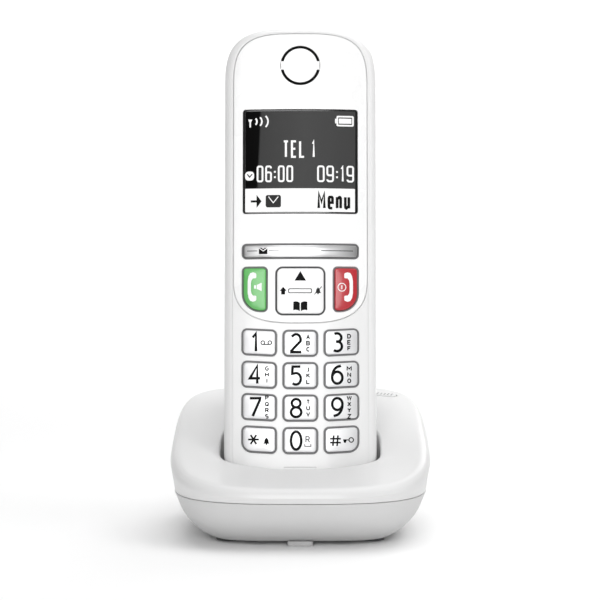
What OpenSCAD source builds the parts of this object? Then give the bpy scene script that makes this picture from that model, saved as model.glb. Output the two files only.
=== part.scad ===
// Cordless telephone handset standing in a round-cornered charging base.
// The handset leans back in a pocket of the base. Every key slides or rocks.
// The floor is z = 0, the front faces -Y and +X is to the right, in mm.

/* [View] */
// Sub-part to draw, "all" for the whole telephone

/* [Base] */
// Half of the base's greatest width
base_hw = 43.1; // [38:0.1:48]
// Half of the base's depth
base_hd = 51; // [45:0.5:56]
// Height of the rim at the front
rim_front_z = 20.6; // [17:0.1:25]
// Height of the rim at the back
rim_back_z = 42.9; // [36:0.1:50]
// Height of the seam between the lower and upper shells
seam_z = 16; // [13:0.1:18]
// Gap left between the two shells at the seam
seam_gap = 0.3; // [0.2:0.05:0.6]
// Wall thickness of the base shells
base_wall = 2.0; // [1.6:0.1:3]
// Height of the rubber feet
foot_h = 1.3; // [1:0.1:3]

/* [Handset] */
// Handset length
hs_len = 154.9; // [140:0.1:170]
// Half of the handset's width
hs_hw = 25.6; // [22:0.1:28]
// Handset thickness
hs_t = 27; // [22:0.5:32]
// Backward lean of the handset in the base, degrees
lean = 9.5; // [5:0.5:15]
// Depth position of the handset's bottom centre
hs_y = -9; // [-14:0.5:0]
// Height of the handset's bottom centre
hs_z = 15.4; // [13:0.1:18]
// Radius of the front face across the handset
face_r = 115; // [80:1:200]
// Wall thickness of the handset shells
hs_wall = 1.7; // [1.2:0.1:2.5]
// Clearance between the handset and the pocket
pocket_gap = 1.3; // [0.8:0.1:2.5]

/* [Keys] */
// Width of a digit key
key_w = 11; // [9:0.1:13]
// Height of a digit key
key_h = 8.1; // [7:0.1:10]
// Pitch of the key columns
col_pitch = 13.75; // [11:0.05:15]
// Pitch of the key rows
row_pitch = 10.85; // [9:0.05:12]
// Height of the bottom row's centre on the handset
row0_v = 15.3; // [12:0.1:20]
// How far the outer edge of a side key is raised
key_shear = 0.7; // [0:0.1:1.5]
// How far the keys stand out of the face
key_proud = 0.6; // [0.2:0.1:1.2]
// Gap around each key
key_gap = 0.4; // [0.3:0.05:0.6]
// Key travel
key_travel = 0.8; // [0.4:0.1:1.2]

/* [Hidden] */

$fn = 64;
ring_n = 72;
eps = 0.01;
white = [0.94, 0.94, 0.93];
satin = [0.9, 0.9, 0.9];
grey = [0.55, 0.55, 0.56];
dark = [0.12, 0.12, 0.13];
steel = [0.72, 0.73, 0.75];
gold = [0.83, 0.68, 0.35];
board = [0.1, 0.35, 0.2];
black = [0.03, 0.03, 0.03];

// ---------- shared geometry ----------

// Point of a superellipse at a polar angle
function sup(c, s, a, b, n) = pow(pow(abs(c) / a, n) + pow(abs(s) / b, n), -1 / n);

// Plan outline of the base: half width, front and back half depths, exponents, taper
function plan(a, bf, bb, nf, nb, tp) = [for (i = [0:ring_n - 1])
  let (p = 360 * i / ring_n, c = cos(p), s = sin(p), n = nf + (nb - nf) * (0.5 + 0.5 * s),
       r = sup(c, s, a, s < 0 ? bf : bb, n), y = r * s)
  [r * c * (1 - tp * y / 50), y]];

// Height of the sloping rim at a depth
function rim_z(y) = let (t = min(1, max(0, (y + base_hd) / (2 * base_hd))))
  rim_front_z + (rim_back_z - rim_front_z) * pow(sin(90 * t), 1.35);

function flat(r, z) = [for (p = r) [p[0], p[1], z]];
function sloped(r, dz) = [for (p = r) [p[0], p[1], rim_z(p[1]) + dz]];

// Handset frame to base frame
function to_base(p) = [p[0], hs_y + p[1] * cos(lean) + p[2] * sin(lean),
  hs_z - p[1] * sin(lean) + p[2] * cos(lean)];

// Section of the pocket across the handset, grown by d
pocket_hw = hs_hw + pocket_gap;
pocket_hd = hs_t / 2 + 0.8;
function pocket(d) = [for (i = [0:ring_n - 1])
  let (p = 360 * i / ring_n, c = cos(p), s = sin(p),
       r = sup(c, s, pocket_hw + d, pocket_hd + d, s < 0 ? 4.5 : 3))
  [r * c, r * s]];

// Height of the pocket's edge around the handset
function edge_z(s) = 30.5 + 13 * s + (s < 0 ? 5.9 : -5) * s * s;

// Pocket ring at a distance dz below the pocket's edge
function edge_ring(d, dz) = let (q = pocket(d)) [for (i = [0:ring_n - 1])
  let (z = edge_z(sin(360 * i / ring_n)) + dz,
       v = (z - hs_z + q[i][1] * sin(lean)) / cos(lean))
  to_base([q[i][0], q[i][1], v])];

// Pocket ring at a height along the handset
function axis_ring(d, v) = [for (q = pocket(d)) to_base([q[0], q[1], v])];

// Blend between two rings, with the height following its own power
function blend(a, b, t, dz) = [for (i = [0:ring_n - 1])
  let (h = pow(t, 1.6 + 0.6 * sin(360 * i / ring_n)))
  [a[i][0] + (b[i][0] - a[i][0]) * t, a[i][1] + (b[i][1] - a[i][1]) * t,
   a[i][2] + (b[i][2] - a[i][2]) * h + dz]];

function flatten(l) = [for (a = l) for (b = a) b];
function centre(r) = [for (k = [0:2]) let (s = [for (p = r) p[k]]) sum(s) / len(r)];
function sum(v, i = 0) = i < len(v) ? v[i] + sum(v, i + 1) : 0;

function reversed(l) = [for (i = [len(l) - 1:-1:0]) l[i]];

// Closed solid through a list of rings, its ends closed by fans
module loft(rings) {
  n = len(rings[0]);
  m = len(rings);
  pts = concat(flatten(rings), [centre(rings[0]), centre(rings[m - 1])]);
  sides = [for (k = [0:m - 2]) for (i = [0:n - 1]) let (j = (i + 1) % n)
    each [[k * n + i, (k + 1) * n + i, (k + 1) * n + j], [k * n + i, (k + 1) * n + j, k * n + j]]];
  first = [for (i = [0:n - 1]) [n * m, i, (i + 1) % n]];
  last = [for (i = [0:n - 1]) [n * m + 1, (m - 1) * n + (i + 1) % n, (m - 1) * n + i]];
  polyhedron(points = pts, faces = concat(sides, first, last), convexity = 8);
}

// Corners of a polygon rounded with their own radii
function unit(v) = v / norm(v);
function rounded(pts, rads, m = 5) = let (n = len(pts)) [for (i = [0:n - 1])
  let (p = pts[i], u = unit(pts[(i + n - 1) % n] - p), w = unit(pts[(i + 1) % n] - p),
       h = acos(u * w) / 2, r = rads[i], c = p + unit(u + w) * r / sin(h),
       q = p + u * r / tan(h) - c, e = p + w * r / tan(h) - c,
       a = atan2(q[1], q[0]), d0 = atan2(e[1], e[0]) - a,
       d = d0 > 180 ? d0 - 360 : d0 < -180 ? d0 + 360 : d0)
  for (k = [0:m]) c + r * [cos(a + d * k / m), sin(a + d * k / m)]];

function box_pts(w, h, s = 0) = [[-w / 2, -h / 2 - s / 2], [w / 2, -h / 2 + s / 2],
  [w / 2, h / 2 + s / 2], [-w / 2, h / 2 - s / 2]];

module in_handset() {
  translate([0, hs_y, hs_z]) rotate([-lean, 0, 0]) children();
}

// Extrudes a face outline through the handset from depth y0 to y1
module through(y0, y1) {
  translate([0, y1, 0]) rotate([90, 0, 0]) linear_extrude(y1 - y0) children();
}

// Solid bounded by the curved front face moved outward by d
module face_solid(d) {
  translate([0, face_r - hs_t / 2, -20]) cylinder(r = face_r + d, h = hs_len + 40, $fn = 240);
}

function sag(x) = face_r - sqrt(face_r * face_r - x * x);

// ---------- handset outlines ----------

top_n = 3.6;
bot_n = 3.2;
top_h = 22;
bot_h = 12;
// Outline of the handset in its face plane, moved inward by d
function outline(d) = [for (i = [0:ring_n - 1])
  let (p = 360 * i / ring_n, c = cos(p), s = sin(p), n = s < 0 ? bot_n : top_n,
       h = s < 0 ? bot_h - d : top_h - d + 0.3 * min(d, 2.7),
       x = sign(c) * pow(abs(c), 2 / n) * (hs_hw - d),
       z = (s < 0 ? bot_h : hs_len - top_h) + sign(s) * pow(abs(s), 2 / n) * h)
  [x, z]];

// Ring of the handset at depth y, following the face's curve by the share c
function hs_ring(d, y, c = 0) = [for (q = outline(d)) [q[0], y + c * sag(q[0]), q[1]]];

part_y = -3;
face_y = -hs_t / 2;
front_rings = [[2.7, face_y - 4, 0], [2.7, face_y + 0.06, 1], [2, face_y + 0.2, 1],
  [1.2, face_y + 0.6, 1], [0.4, face_y + 1.7, 0.95], [0, face_y + 4, 0.8], [0.05, part_y - 0.1, 0]];
rear_rings = [[0.1, part_y + 0.1, 0], [0.5, 2, 0], [1.6, 6, 0], [4, 9.5, 0], [7.2, 11.8, 0],
  [11, 13, 0], [15, hs_t / 2, 0]];

module front_block() {
  intersection() {
    loft(reversed([for (r = front_rings) hs_ring(r[0], r[1], r[2])]));
    face_solid(0);
  }
}

module front_hollow() {
  intersection() {
    loft(reversed([for (r = [[5, face_y - 4, 0], [5, face_y, 1], [2.9, face_y + 1.6, 1],
      [hs_wall, face_y + 4.5, 0.8], [hs_wall, part_y + 1, 0]]) hs_ring(r[0], r[1], r[2])]));
    face_solid(-2);
  }
}

module rear_block() {
  loft(reversed([for (r = rear_rings) hs_ring(r[0], r[1], r[2])]));
}

module rear_hollow() {
  loft(reversed([for (r = [[hs_wall, part_y - 1, 0], [hs_wall + 0.5, 1.6, 0],
    [hs_wall + 1.7, 5.3, 0], [hs_wall + 3.9, 8.4, 0], [hs_wall + 6.8, 10.3, 0],
    [hs_wall + 10, 11.4, 0], [hs_wall + 13, hs_t / 2 - hs_wall, 0]]) hs_ring(r[0], r[1], r[2])]));
}

// ---------- face layout, x and height along the handset ----------

fascia_hw = 22.6;
fascia_top = 152.8;
fascia_bottom = 54.65;
fascia_bot_h = 17;
function fascia_pts(d) = [for (i = [0:ring_n - 1])
  let (p = 360 * i / ring_n, c = cos(p), s = sin(p), n = s < 0 ? 3 : top_n,
       h = s < 0 ? fascia_bot_h - d : fascia_top - hs_len + top_h - d,
       x = sign(c) * pow(abs(c), 2 / n) * (fascia_hw - d),
       z = (s < 0 ? fascia_bottom + fascia_bot_h : hs_len - top_h) + sign(s) * pow(abs(s), 2 / n) * h)
  [x, z]];

ear_v = 141.9;
ear_r = 6.65;
ear_cap_r = 5.88;
win_c = [0, 109.26];
win_s = [38.6, 35.3];
soft_c = [0, 78.84];
soft_s = [38.4, 4.3];
nav_c = [0, 65.45];
nav_s = [15.9, 15.5];
call_c = [15.27, 66.04];
call_s = [7.8, 14.4];
mic_v = 6.2;
mat_d = -4.4;
key_d = mat_d + key_travel + 0.1;
flange_d = -2.3;

// Row from the bottom and column of each digit key
KEYS = [["key_1", -1, 3], ["key_2", 0, 3], ["key_3", 1, 3], ["key_4", -1, 2], ["key_5", 0, 2],
  ["key_6", 1, 2], ["key_7", -1, 1], ["key_8", 0, 1], ["key_9", 1, 1], ["key_star", -1, 0],
  ["key_0", 0, 0], ["key_hash", 1, 0]];

// Outline of a digit key, grown by d; the two bottom outer corners are rounder
module digit_shape(col, row, d) {
  low = row == 0 ? 3.2 : 1.4;
  rl = (col < 0 ? low : 1.4) + d;
  rr = (col > 0 ? low : 1.4) + d;
  translate([col * col_pitch, row0_v + row * row_pitch + (col == 0 ? 0 : key_shear / 2)])
    polygon(rounded(box_pts(key_w + 2 * d, key_h + 2 * d, col * key_shear),
      [rl, rr, 1.4 + d, 1.4 + d]));
}

// Outline of the call keys: side -1 is the left one
module call_shape(side, d) {
  big = 5.8 + d;
  small = 1.1 + d;
  translate([side * call_c[0], call_c[1]])
    polygon(rounded(box_pts(call_s[0] + 2 * d, call_s[1] + 2 * d),
      [side < 0 ? big : small, side < 0 ? small : big, small, small]));
}

module box_shape(c, s, r, d) {
  translate(c) polygon(rounded(box_pts(s[0] + 2 * d, s[1] + 2 * d), [for (k = [0:3]) r + d]));
}

module nav_shape(d) {
  box_shape(nav_c, nav_s, 2, d);
}

module soft_shape(d) {
  box_shape(soft_c, soft_s, 1.1, d);
}

module upper_key_shapes(d) {
  call_shape(-1, d);
  call_shape(1, d);
  nav_shape(d);
  soft_shape(d);
}

// Key cap standing on the mat, cut by the curved face; children are its outline
module key_body(top = key_proud) {
  in_handset() intersection() {
    through(face_y - 3, face_y + 8) children();
    difference() {
      face_solid(top);
      face_solid(key_d);
    }
  }
}

// Key with a flange that keeps it behind the face
module held_key() {
  key_body() children(0);
  in_handset() intersection() {
    through(face_y - 3, face_y + 8) children(1);
    difference() {
      face_solid(flange_d);
      face_solid(key_d);
    }
  }
}

module digit_key(name, tint = satin) {
  k = KEYS[search([name], KEYS)[0]];
  color(tint) held_key() {
    digit_shape(k[1], k[2], 0);
    digit_shape(k[1], k[2], 0.65);
  }
}

// ---------- base ----------

taper = 0.05;
seam_plan = plan(base_hw - 1.3, 50.2, 49, 3, 3.4, taper);
seam_inner = plan(base_hw - 1.3 - base_wall, 48.2, 47, 3, 3.4, taper);
mid_plan = plan(base_hw - 4, 46, 45, 3.3, 3.5, 0.8 * taper);
low_plan = plan(base_hw - 8, 40.3, 40, 3.7, 3.7, 0.6 * taper);
foot_plan = plan(31, 35, 36, 4.2, 4.2, 0.6 * taper);

// Ring of the base's edge, da smaller and dk lower at the sides, where the edge is rolled
function rim_ring(a, bf, bb, dz, da, dk) =
  let (q = plan(a, bf, bb, 3, 3.6, taper), r = plan(a - da, bf, bb, 3, 3.6, taper))
  [for (i = [0:ring_n - 1])
    let (k = pow(cos(360 * i / ring_n), 4), p = q[i] * (1 - k) + r[i] * k)
    [p[0], p[1], rim_z(p[1]) + dz - dk * k]];

crest = rim_ring(base_hw - 2.4, base_hd - 3, base_hd - 2.6, 0.2, 1.4, 0);
rim = rim_ring(base_hw - 0.6, base_hd - 1, base_hd - 0.6, -0.5, 0.35, 0.46);
wide = rim_ring(base_hw, base_hd, base_hd, -2.4, 0, 1.4);
lip = edge_ring(1.3, 0.1);
under_lip = edge_ring(base_wall + 1.3, -base_wall);
under_crest = rim_ring(base_hw - 3.6, base_hd - 4.4, base_hd - 4, -2.2, 1.4, 0);

upper_skin = [axis_ring(-5.4, -0.4), axis_ring(-2.2, 0.4), axis_ring(-0.5, 1.8), axis_ring(0, 3.2),
  edge_ring(0, -1.5), edge_ring(0.35, -0.45), lip, blend(crest, lip, 0.82, 0),
  blend(crest, lip, 0.6, 0), blend(crest, lip, 0.38, 0), blend(crest, lip, 0.18, 0), crest,
  rim, wide, flat(seam_plan, seam_z + seam_gap / 2)];

upper_under = [flat(seam_inner, seam_z + seam_gap / 2),
  rim_ring(base_hw - 2.2, base_hd - 3, base_hd - 2.6, -3.7, 0, 1.2), under_crest,
  blend(under_crest, under_lip, 0.25, 0), blend(under_crest, under_lip, 0.5, 0),
  blend(under_crest, under_lip, 0.78, 0), under_lip, edge_ring(base_wall, -4),
  axis_ring(base_wall, 2.6), axis_ring(base_wall - 0.8, 0.3), axis_ring(-0.6, -1.4),
  axis_ring(-4.4, -2.4)];

contact_x = 9;
contact_y = 2;
screw_xy = [[-14, -30], [14, -30], [-27, 14], [27, 14]];
foot_xy = [[-24, -23], [24, -23], [-24, 26], [24, 26]];
page_c = [28.5, 32];
page_turn = -14;
socket_x = 12;
board_z = 5;

module page_shape(d) {
  translate(page_c) rotate(page_turn) polygon(rounded(box_pts(11 + 2 * d, 5 + 2 * d),
    [for (k = [0:3]) 2.4 + d]));
}

module screw_boss(z0, z1, hole) {
  difference() {
    translate([0, 0, z0]) cylinder(r = 3.2, h = z1 - z0, $fn = 32);
    translate([0, 0, z0 - 1]) cylinder(r = hole, h = z1 - z0 - 1, $fn = 24);
  }
}

module base_upper_shell() {
  color(white) resize([0, 0, 0]) difference() {
    union() {
      loft(reversed(concat(upper_skin, upper_under)));
      for (p = screw_xy) translate(p) screw_boss(10.2, p[1] < 0 ? 21.6 : 36.5, 1.4);
      translate([page_c[0], page_c[1], 0]) rotate(page_turn) {
        for (s = [-1, 1]) translate([s * 7.6 - 0.6, -3, 31]) cube([1.2, 6, 7.8]);
        translate([-8.2, -3, 31]) cube([16.4, 6, 1.2]);
      }
    }
    for (s = [-1, 1]) in_handset() translate([s * contact_x - 1.9, contact_y - 1.4, -6])
      cube([3.8, 2.8, 8]);
    translate([0, 0, 35]) linear_extrude(12) page_shape(0.35);
  }
}

module base_lower_shell() {
  color(satin) resize([0, 0, 0]) difference() {
    union() {
      loft([flat(foot_plan, foot_h), flat(low_plan, 4.4), flat(mid_plan, 9.2),
        flat(seam_plan, seam_z - seam_gap / 2),
        flat(seam_inner, seam_z - seam_gap / 2),
        flat(plan(base_hw - 6.2, 43.9, 42.9, 3.3, 3.5, 0.8 * taper), 9.6),
        flat(plan(base_hw - 10.2, 38, 37.7, 3.7, 3.7, 0.6 * taper), 5),
        flat(plan(29.6, 33.6, 34.6, 4.2, 4.2, 0.6 * taper), 3.3)]);
      for (p = screw_xy) translate(p) screw_boss(3, 10, 1.7);
      for (x = [-19, 19], y = [21, 30]) translate([x, y, 3]) cylinder(r = 1.6, h = 2, $fn = 24);
    }
    for (p = screw_xy) translate([p[0], p[1], 0]) {
      cylinder(r = 3.1, h = 3, $fn = 32);
      cylinder(r = 1.7, h = 12, $fn = 24);
    }
    for (s = [-1, 1]) translate([s * socket_x - 6.2, 34, board_z + 1]) cube([12.4, 18, 8.2]);
  }
}

module base_feet() {
  color(grey) for (p = foot_xy) translate(p) cylinder(r = 4, h = foot_h, $fn = 48);
}

module front_tab() {
  color(grey) translate([0, -34.6, 0]) linear_extrude(foot_h)
    polygon(rounded(box_pts(8.4, 4), [1, 1, 0.5, 0.5]));
}

module base_screws() {
  color(steel) for (p = screw_xy) translate(p) {
    translate([0, 0, 1.6]) cylinder(r = 2.7, h = 1.3, $fn = 32);
    translate([0, 0, 2.9]) cylinder(r = 1.35, h = 10, $fn = 24);
  }
}

module base_pcb() {
  color(board) translate([0, 0, board_z]) linear_extrude(1)
    polygon([[-22, 10.5], [22, 10.5], [22, 19], [24, 19], [24, 33], [-24, 33], [-24, 19], [-22, 19]]);
}

module base_rf_shield() {
  color(steel) translate([3, 14, board_z + 1]) cube([17, 13, 2.6]);
}

module base_antenna() {
  color(gold) {
    translate([-20, 15, board_z + 1]) cube([1, 0.8, 9]);
    translate([-20, 15, board_z + 9]) cube([16, 0.8, 1]);
    translate([-5, 15, board_z + 4]) cube([1, 0.8, 6]);
  }
}

module charge_contact_holder() {
  color(dark) in_handset() difference() {
    translate([-14, contact_y - 3.4, -8.6]) cube([28, 6.8, 5.9]);
    for (s = [-1, 1]) translate([s * contact_x - 1.9, contact_y - 1.4, -7.4]) cube([3.8, 2.8, 8]);
  }
}

// Sprung contact standing in its slot, a rounded blade on a foot
module charge_contact(side) {
  color(gold) in_handset() translate([side * contact_x, contact_y, 0]) {
    translate([0, 1, 0]) rotate([90, 0, 0]) linear_extrude(2)
      polygon(rounded([[-1.5, -6.2], [1.5, -6.2], [1.5, 0.35], [-1.5, 0.35]], [0.2, 0.2, 1.2, 1.2]));
  }
}

module charge_contact_left() {
  charge_contact(-1);
}

module charge_contact_right() {
  charge_contact(1);
}

module paging_key() {
  color(white) resize([0, 0, 0]) intersection() {
    translate([0, 0, 0.35]) loft(reversed(upper_skin_closed));
    union() {
      translate([0, 0, 34.6]) linear_extrude(12) page_shape(0);
      translate([0, 0, 34.6]) linear_extrude(0.9) page_shape(0.8);
    }
  }
}

// The upper skin taken down as a solid block, used to shape the paging key's top
upper_skin_closed = [axis_ring(-5.4, -0.4), edge_ring(0, -1.5), lip, blend(crest, lip, 0.82, 0),
  blend(crest, lip, 0.6, 0), blend(crest, lip, 0.38, 0), blend(crest, lip, 0.18, 0), crest,
  wide, flat(seam_plan, 8)];

module paging_switch() {
  color(dark) translate([page_c[0], page_c[1], 32.2]) rotate(page_turn) {
    translate([-3, -2.5, 0]) cube([6, 5, 1.1]);
    translate([0, 0, 1.1]) cylinder(r = 1.4, h = 0.4, $fn = 24);
  }
}

// Modular socket with its mouth to the back
module modular_socket(x) {
  translate([x, 0, board_z + 1]) difference() {
    translate([-6, 29.6, 0]) cube([12, 11.6, 8]);
    translate([-4.9, 31.8, 0.9]) cube([9.8, 12, 6.4]);
  }
}

module power_socket() {
  color(dark) modular_socket(-socket_x);
}

module line_socket() {
  color(grey) modular_socket(socket_x);
}

// ---------- handset ----------

module handset_front_shell() {
  color(white) resize([0, 0, 0]) in_handset() difference() {
    union() {
      difference() {
        front_block();
        front_hollow();
      }
      at_handset_screws() translate([0, 0, -10.6]) cylinder(r = 2.6, h = 7.5, $fn = 32);
    }
    at_handset_screws() translate([0, 0, -9]) cylinder(r = 1.15, h = 10, $fn = 24);
    difference() {
      through(face_y - 3, face_y + 5) polygon(fascia_pts(-0.1));
      face_solid(-1.05);
    }
    through(face_y - 3, face_y + 7) upper_key_shapes(key_gap);
    for (k = KEYS) through(face_y - 3, face_y + 7) digit_shape(k[1], k[2], key_gap);
    through(face_y - 3, face_y + 7) box_shape(win_c, win_s, 0.9, 0.3);
    through(face_y - 3, face_y + 3) translate([0, ear_v]) circle(r = 7.6);
    through(face_y - 3, face_y + 3) box_shape([0, mic_v], [11, 0.6], 0.25, 0);
  }
}

module handset_fascia() {
  color(white) in_handset() intersection() {
    through(face_y - 3, face_y + 5) difference() {
      polygon(fascia_pts(0));
      upper_key_shapes(key_gap);
      box_shape(win_c, win_s, 0.9, 0.05);
      translate([0, ear_v]) circle(r = ear_r);
    }
    difference() {
      face_solid(0);
      face_solid(-1);
    }
  }
}

cover_c = [0, 83];
cover_s = [38, 66];
bay_s = [25.6, 55];

module cover_shape(d) {
  box_shape(cover_c, cover_s, 6, d);
}

module handset_rear_shell() {
  color(white) resize([0, 0, 0]) in_handset() difference() {
    union() {
      difference() {
        rear_block();
        rear_hollow();
        through(0, 20) cover_shape(0);
      }
      difference() {
        translate([-bay_s[0] / 2, -1.8, cover_c[1] - bay_s[1] / 2]) cube([bay_s[0], 11.4, bay_s[1]]);
        translate([1 - bay_s[0] / 2, -0.8, cover_c[1] + 1 - bay_s[1] / 2])
          cube([bay_s[0] - 2, 13, bay_s[1] - 2]);
      }
      intersection() {
        rear_block();
        difference() {
          through(4.5, 11.9) cover_shape(2.2);
          through(-2, 20) cover_shape(-0.9);
          through(9.2, 20) cover_shape(0);
        }
      }
      for (s = [-1, 1], v = [0, 1]) translate([-24, -1.8, cover_c[1] - bay_s[1] / 2 + v * (bay_s[1] - 1)])
        cube([48, 4, 1]);
      at_handset_screws() translate([0, 0, -2.7]) cylinder(r = 3.3, h = 13, $fn = 32);
    }
    at_handset_screws() {
      translate([0, 0, 2]) cylinder(r = 2.4, h = 20, $fn = 32);
      translate([0, 0, -5]) cylinder(r = 1.3, h = 20, $fn = 24);
    }
    for (s = [-1, 1]) {
      translate([s * contact_x - 3, -0.2, -2]) cube([6, 4.4, 4.6]);
    }
    for (k = [-3:3]) through(8, 20) box_shape([0, 131 + 2.2 * k], [14 - abs(k) * 1.6, 1], 0.45, 0);
  }
}

// Places children at both handset screws, their Z pointing out of the back
module at_handset_screws() {
  for (s = [-1, 1]) translate([s * 16.8, 0, 134]) rotate([-90, 0, 0]) children();
}

module earpiece_cap() {
  color(white) in_handset() intersection() {
    through(face_y - 3, face_y + 3) {
      translate([0, ear_v]) circle(r = ear_cap_r);
      intersection() {
        box_shape([0, ear_v], [2 * ear_r, 2.9], 0.3, 0);
        translate([0, ear_v]) circle(r = ear_r - 0.03);
      }
    }
    difference() {
      face_solid(0);
      face_solid(-1);
    }
  }
}

module earpiece_cloth() {
  color(black) in_handset() through(face_y + 1.4, face_y + 1.7) translate([0, ear_v]) circle(r = 7.4);
}

module earpiece_speaker() {
  color(dark) in_handset() {
    through(face_y + 1.8, face_y + 3.2) translate([0, ear_v]) circle(r = 7.2);
    through(face_y + 3.2, face_y + 5.2) translate([0, ear_v]) circle(r = 5.4);
  }
}

module display_window() {
  color(black) in_handset() intersection() {
    through(face_y - 3, face_y + 5) box_shape(win_c, win_s, 0.9, 0);
    difference() {
      face_solid(0);
      face_solid(-0.9);
    }
  }
}

module display_gasket() {
  color(dark) in_handset() through(face_y + 2.7, face_y + 5.1) difference() {
    box_shape(win_c, win_s, 0.9, -0.1);
    box_shape(win_c, [36.6, 33.3], 0.5, 0);
  }
}

module lcd_module() {
  color([0.25, 0.27, 0.28]) in_handset() through(face_y + 2.7, face_y + 5.1)
    box_shape(win_c, [36.4, 33.1], 0.5, 0);
}

module display_light_guide() {
  color([0.9, 0.92, 0.95]) in_handset() through(face_y + 5.2, face_y + 6.6)
    box_shape(win_c, [37, 34], 0.5, 0);
}

module keypad_mat() {
  color(grey) in_handset() intersection() {
    through(face_y, -5.8) box_shape([0, 44.2], [42.4, 78.4], 4, 0);
    difference() {
      face_solid(mat_d);
      translate([-5, face_y - 1, nav_c[1] - 5]) cube([10, 20, 10]);
      translate([-2.6, face_y - 1, soft_c[1] - 1.6]) cube([5.2, 20, 3.2]);
    }
  }
}

module handset_pcb() {
  color(board) in_handset() difference() {
    through(-5.7, -4.7) polygon(outline(3.4));
    at_handset_screws() translate([0, 0, -8]) cylinder(r = 2.9, h = 6, $fn = 32);
  }
}

module handset_antenna() {
  color(gold) in_handset() {
    translate([-12, -4.6, 143.5]) cube([24, 1, 1.2]);
    translate([-12, -4.6, 138]) cube([1.2, 1, 6]);
    translate([10.8, -4.6, 140]) cube([1.2, 1, 4]);
  }
}

module microphone() {
  color(dark) in_handset() through(face_y + 2.15, face_y + 4) translate([0, mic_v]) circle(r = 2);
}

module handsfree_speaker() {
  color(dark) in_handset() {
    through(8.6, 10.6) translate([0, 131]) circle(r = 9.5);
    through(5.4, 8.6) translate([0, 131]) circle(r = 7);
  }
}

// One round cell with its raised positive end
module cell(x, up) {
  in_handset() translate([x, 4.6, cover_c[1]]) rotate([up > 0 ? 0 : 180, 0, 0]) {
    translate([0, 0, -22.2]) cylinder(r = 5.2, h = 43.4, $fn = 48);
    translate([0, 0, 21.2]) cylinder(r = 1.9, h = 0.9, $fn = 32);
  }
}

module battery_left() {
  color([0.2, 0.45, 0.3]) cell(-5.9, 1);
}

module battery_right() {
  color([0.2, 0.45, 0.3]) cell(5.9, -1);
}

module battery_spring_contacts() {
  color(steel) in_handset() {
    for (p = [[-5.9, -1], [5.9, 1]]) translate([p[0], 4.6, cover_c[1] + p[1] * 24.4]) {
      translate([-4, -3.5, -0.3]) cube([8, 7, 0.6]);
      translate([0, 0, p[1] > 0 ? -1.9 : 0.3]) cylinder(r1 = p[1] > 0 ? 1.6 : 3, r2 = p[1] > 0 ? 3 : 1.6,
        h = 1.6, $fn = 32);
    }
  }
}

module battery_plate_contacts() {
  color(steel) in_handset() for (p = [[-5.9, 1], [5.9, -1]])
    translate([p[0] - 4, 1.1, cover_c[1] + p[1] * 23.4 - 0.3]) cube([8, 7, 0.6]);
}

module handset_charge_contacts() {
  color(gold) in_handset() for (s = [-1, 1]) translate([s * contact_x - 2.9, -0.1, 0.6])
    cube([5.8, 4.2, 1.9]);
}

module handset_screws() {
  color(steel) in_handset() at_handset_screws() {
    translate([0, 0, 2.02]) cylinder(r = 2.2, h = 1.5, $fn = 32);
    translate([0, 0, -7.5]) cylinder(r = 1.1, h = 9.6, $fn = 24);
  }
}

module battery_cover() {
  color(white) resize([0, 0, 0]) in_handset() intersection() {
    difference() {
      rear_block();
      rear_hollow();
    }
    through(9.5, 20) cover_shape(-0.25);
  }
}

// ---------- keys ----------

module key_1() { digit_key("key_1"); }
module key_2() { digit_key("key_2"); }
module key_3() { digit_key("key_3"); }
module key_4() { digit_key("key_4"); }
module key_5() { digit_key("key_5"); }
module key_6() { digit_key("key_6"); }
module key_7() { digit_key("key_7"); }
module key_8() { digit_key("key_8"); }
module key_9() { digit_key("key_9"); }
module key_star() { digit_key("key_star"); }
module key_0() { digit_key("key_0"); }
module key_hash() { digit_key("key_hash"); }

module talk_key() {
  color([0.35, 0.8, 0.35]) held_key() {
    call_shape(-1, 0);
    call_shape(-1, 0.65);
  }
}

module end_key() {
  color([0.8, 0.2, 0.2]) held_key() {
    call_shape(1, 0);
    call_shape(1, 0.65);
  }
}

module soft_key_bar() {
  color(steel) key_body() soft_shape(0);
}

// Ring that carries the rocker on two crossed pins
module nav_pivot() {
  color(dark) in_handset() translate([0, face_y + 6.2, nav_c[1]]) rotate([90, 0, 0]) difference() {
    cylinder(r = 4.2, h = 1.4, $fn = 48);
    translate([0, 0, -1]) cylinder(r = 2.4, h = 4, $fn = 32);
  }
}

module nav_key() {
  color(white) {
    key_body() nav_shape(0);
    in_handset() translate([0, face_y + 6, nav_c[1]]) rotate([90, 0, 0])
      cylinder(r = 1.9, h = 3, $fn = 32);
  }
}

base_upper_shell();
base_lower_shell();
base_feet();
front_tab();
base_screws();
base_pcb();
base_rf_shield();
base_antenna();
charge_contact_holder();
paging_switch();
power_socket();
line_socket();
charge_contact_left();
charge_contact_right();
paging_key();
handset_front_shell();
handset_fascia();
handset_rear_shell();
earpiece_cap();
earpiece_cloth();
earpiece_speaker();
display_window();
display_gasket();
lcd_module();
display_light_guide();
keypad_mat();
handset_pcb();
handset_antenna();
microphone();
handsfree_speaker();
battery_left();
battery_right();
battery_spring_contacts();
battery_plate_contacts();
handset_charge_contacts();
handset_screws();
battery_cover();
key_1();
key_2();
key_3();
key_4();
key_5();
key_6();
key_7();
key_8();
key_9();
key_star();
key_0();
key_hash();
talk_key();
end_key();
soft_key_bar();
nav_pivot();
nav_key();
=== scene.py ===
import bpy
import math
import numpy as np
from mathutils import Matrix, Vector
from mathutils.geometry import delaunay_2d_cdt

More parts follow.
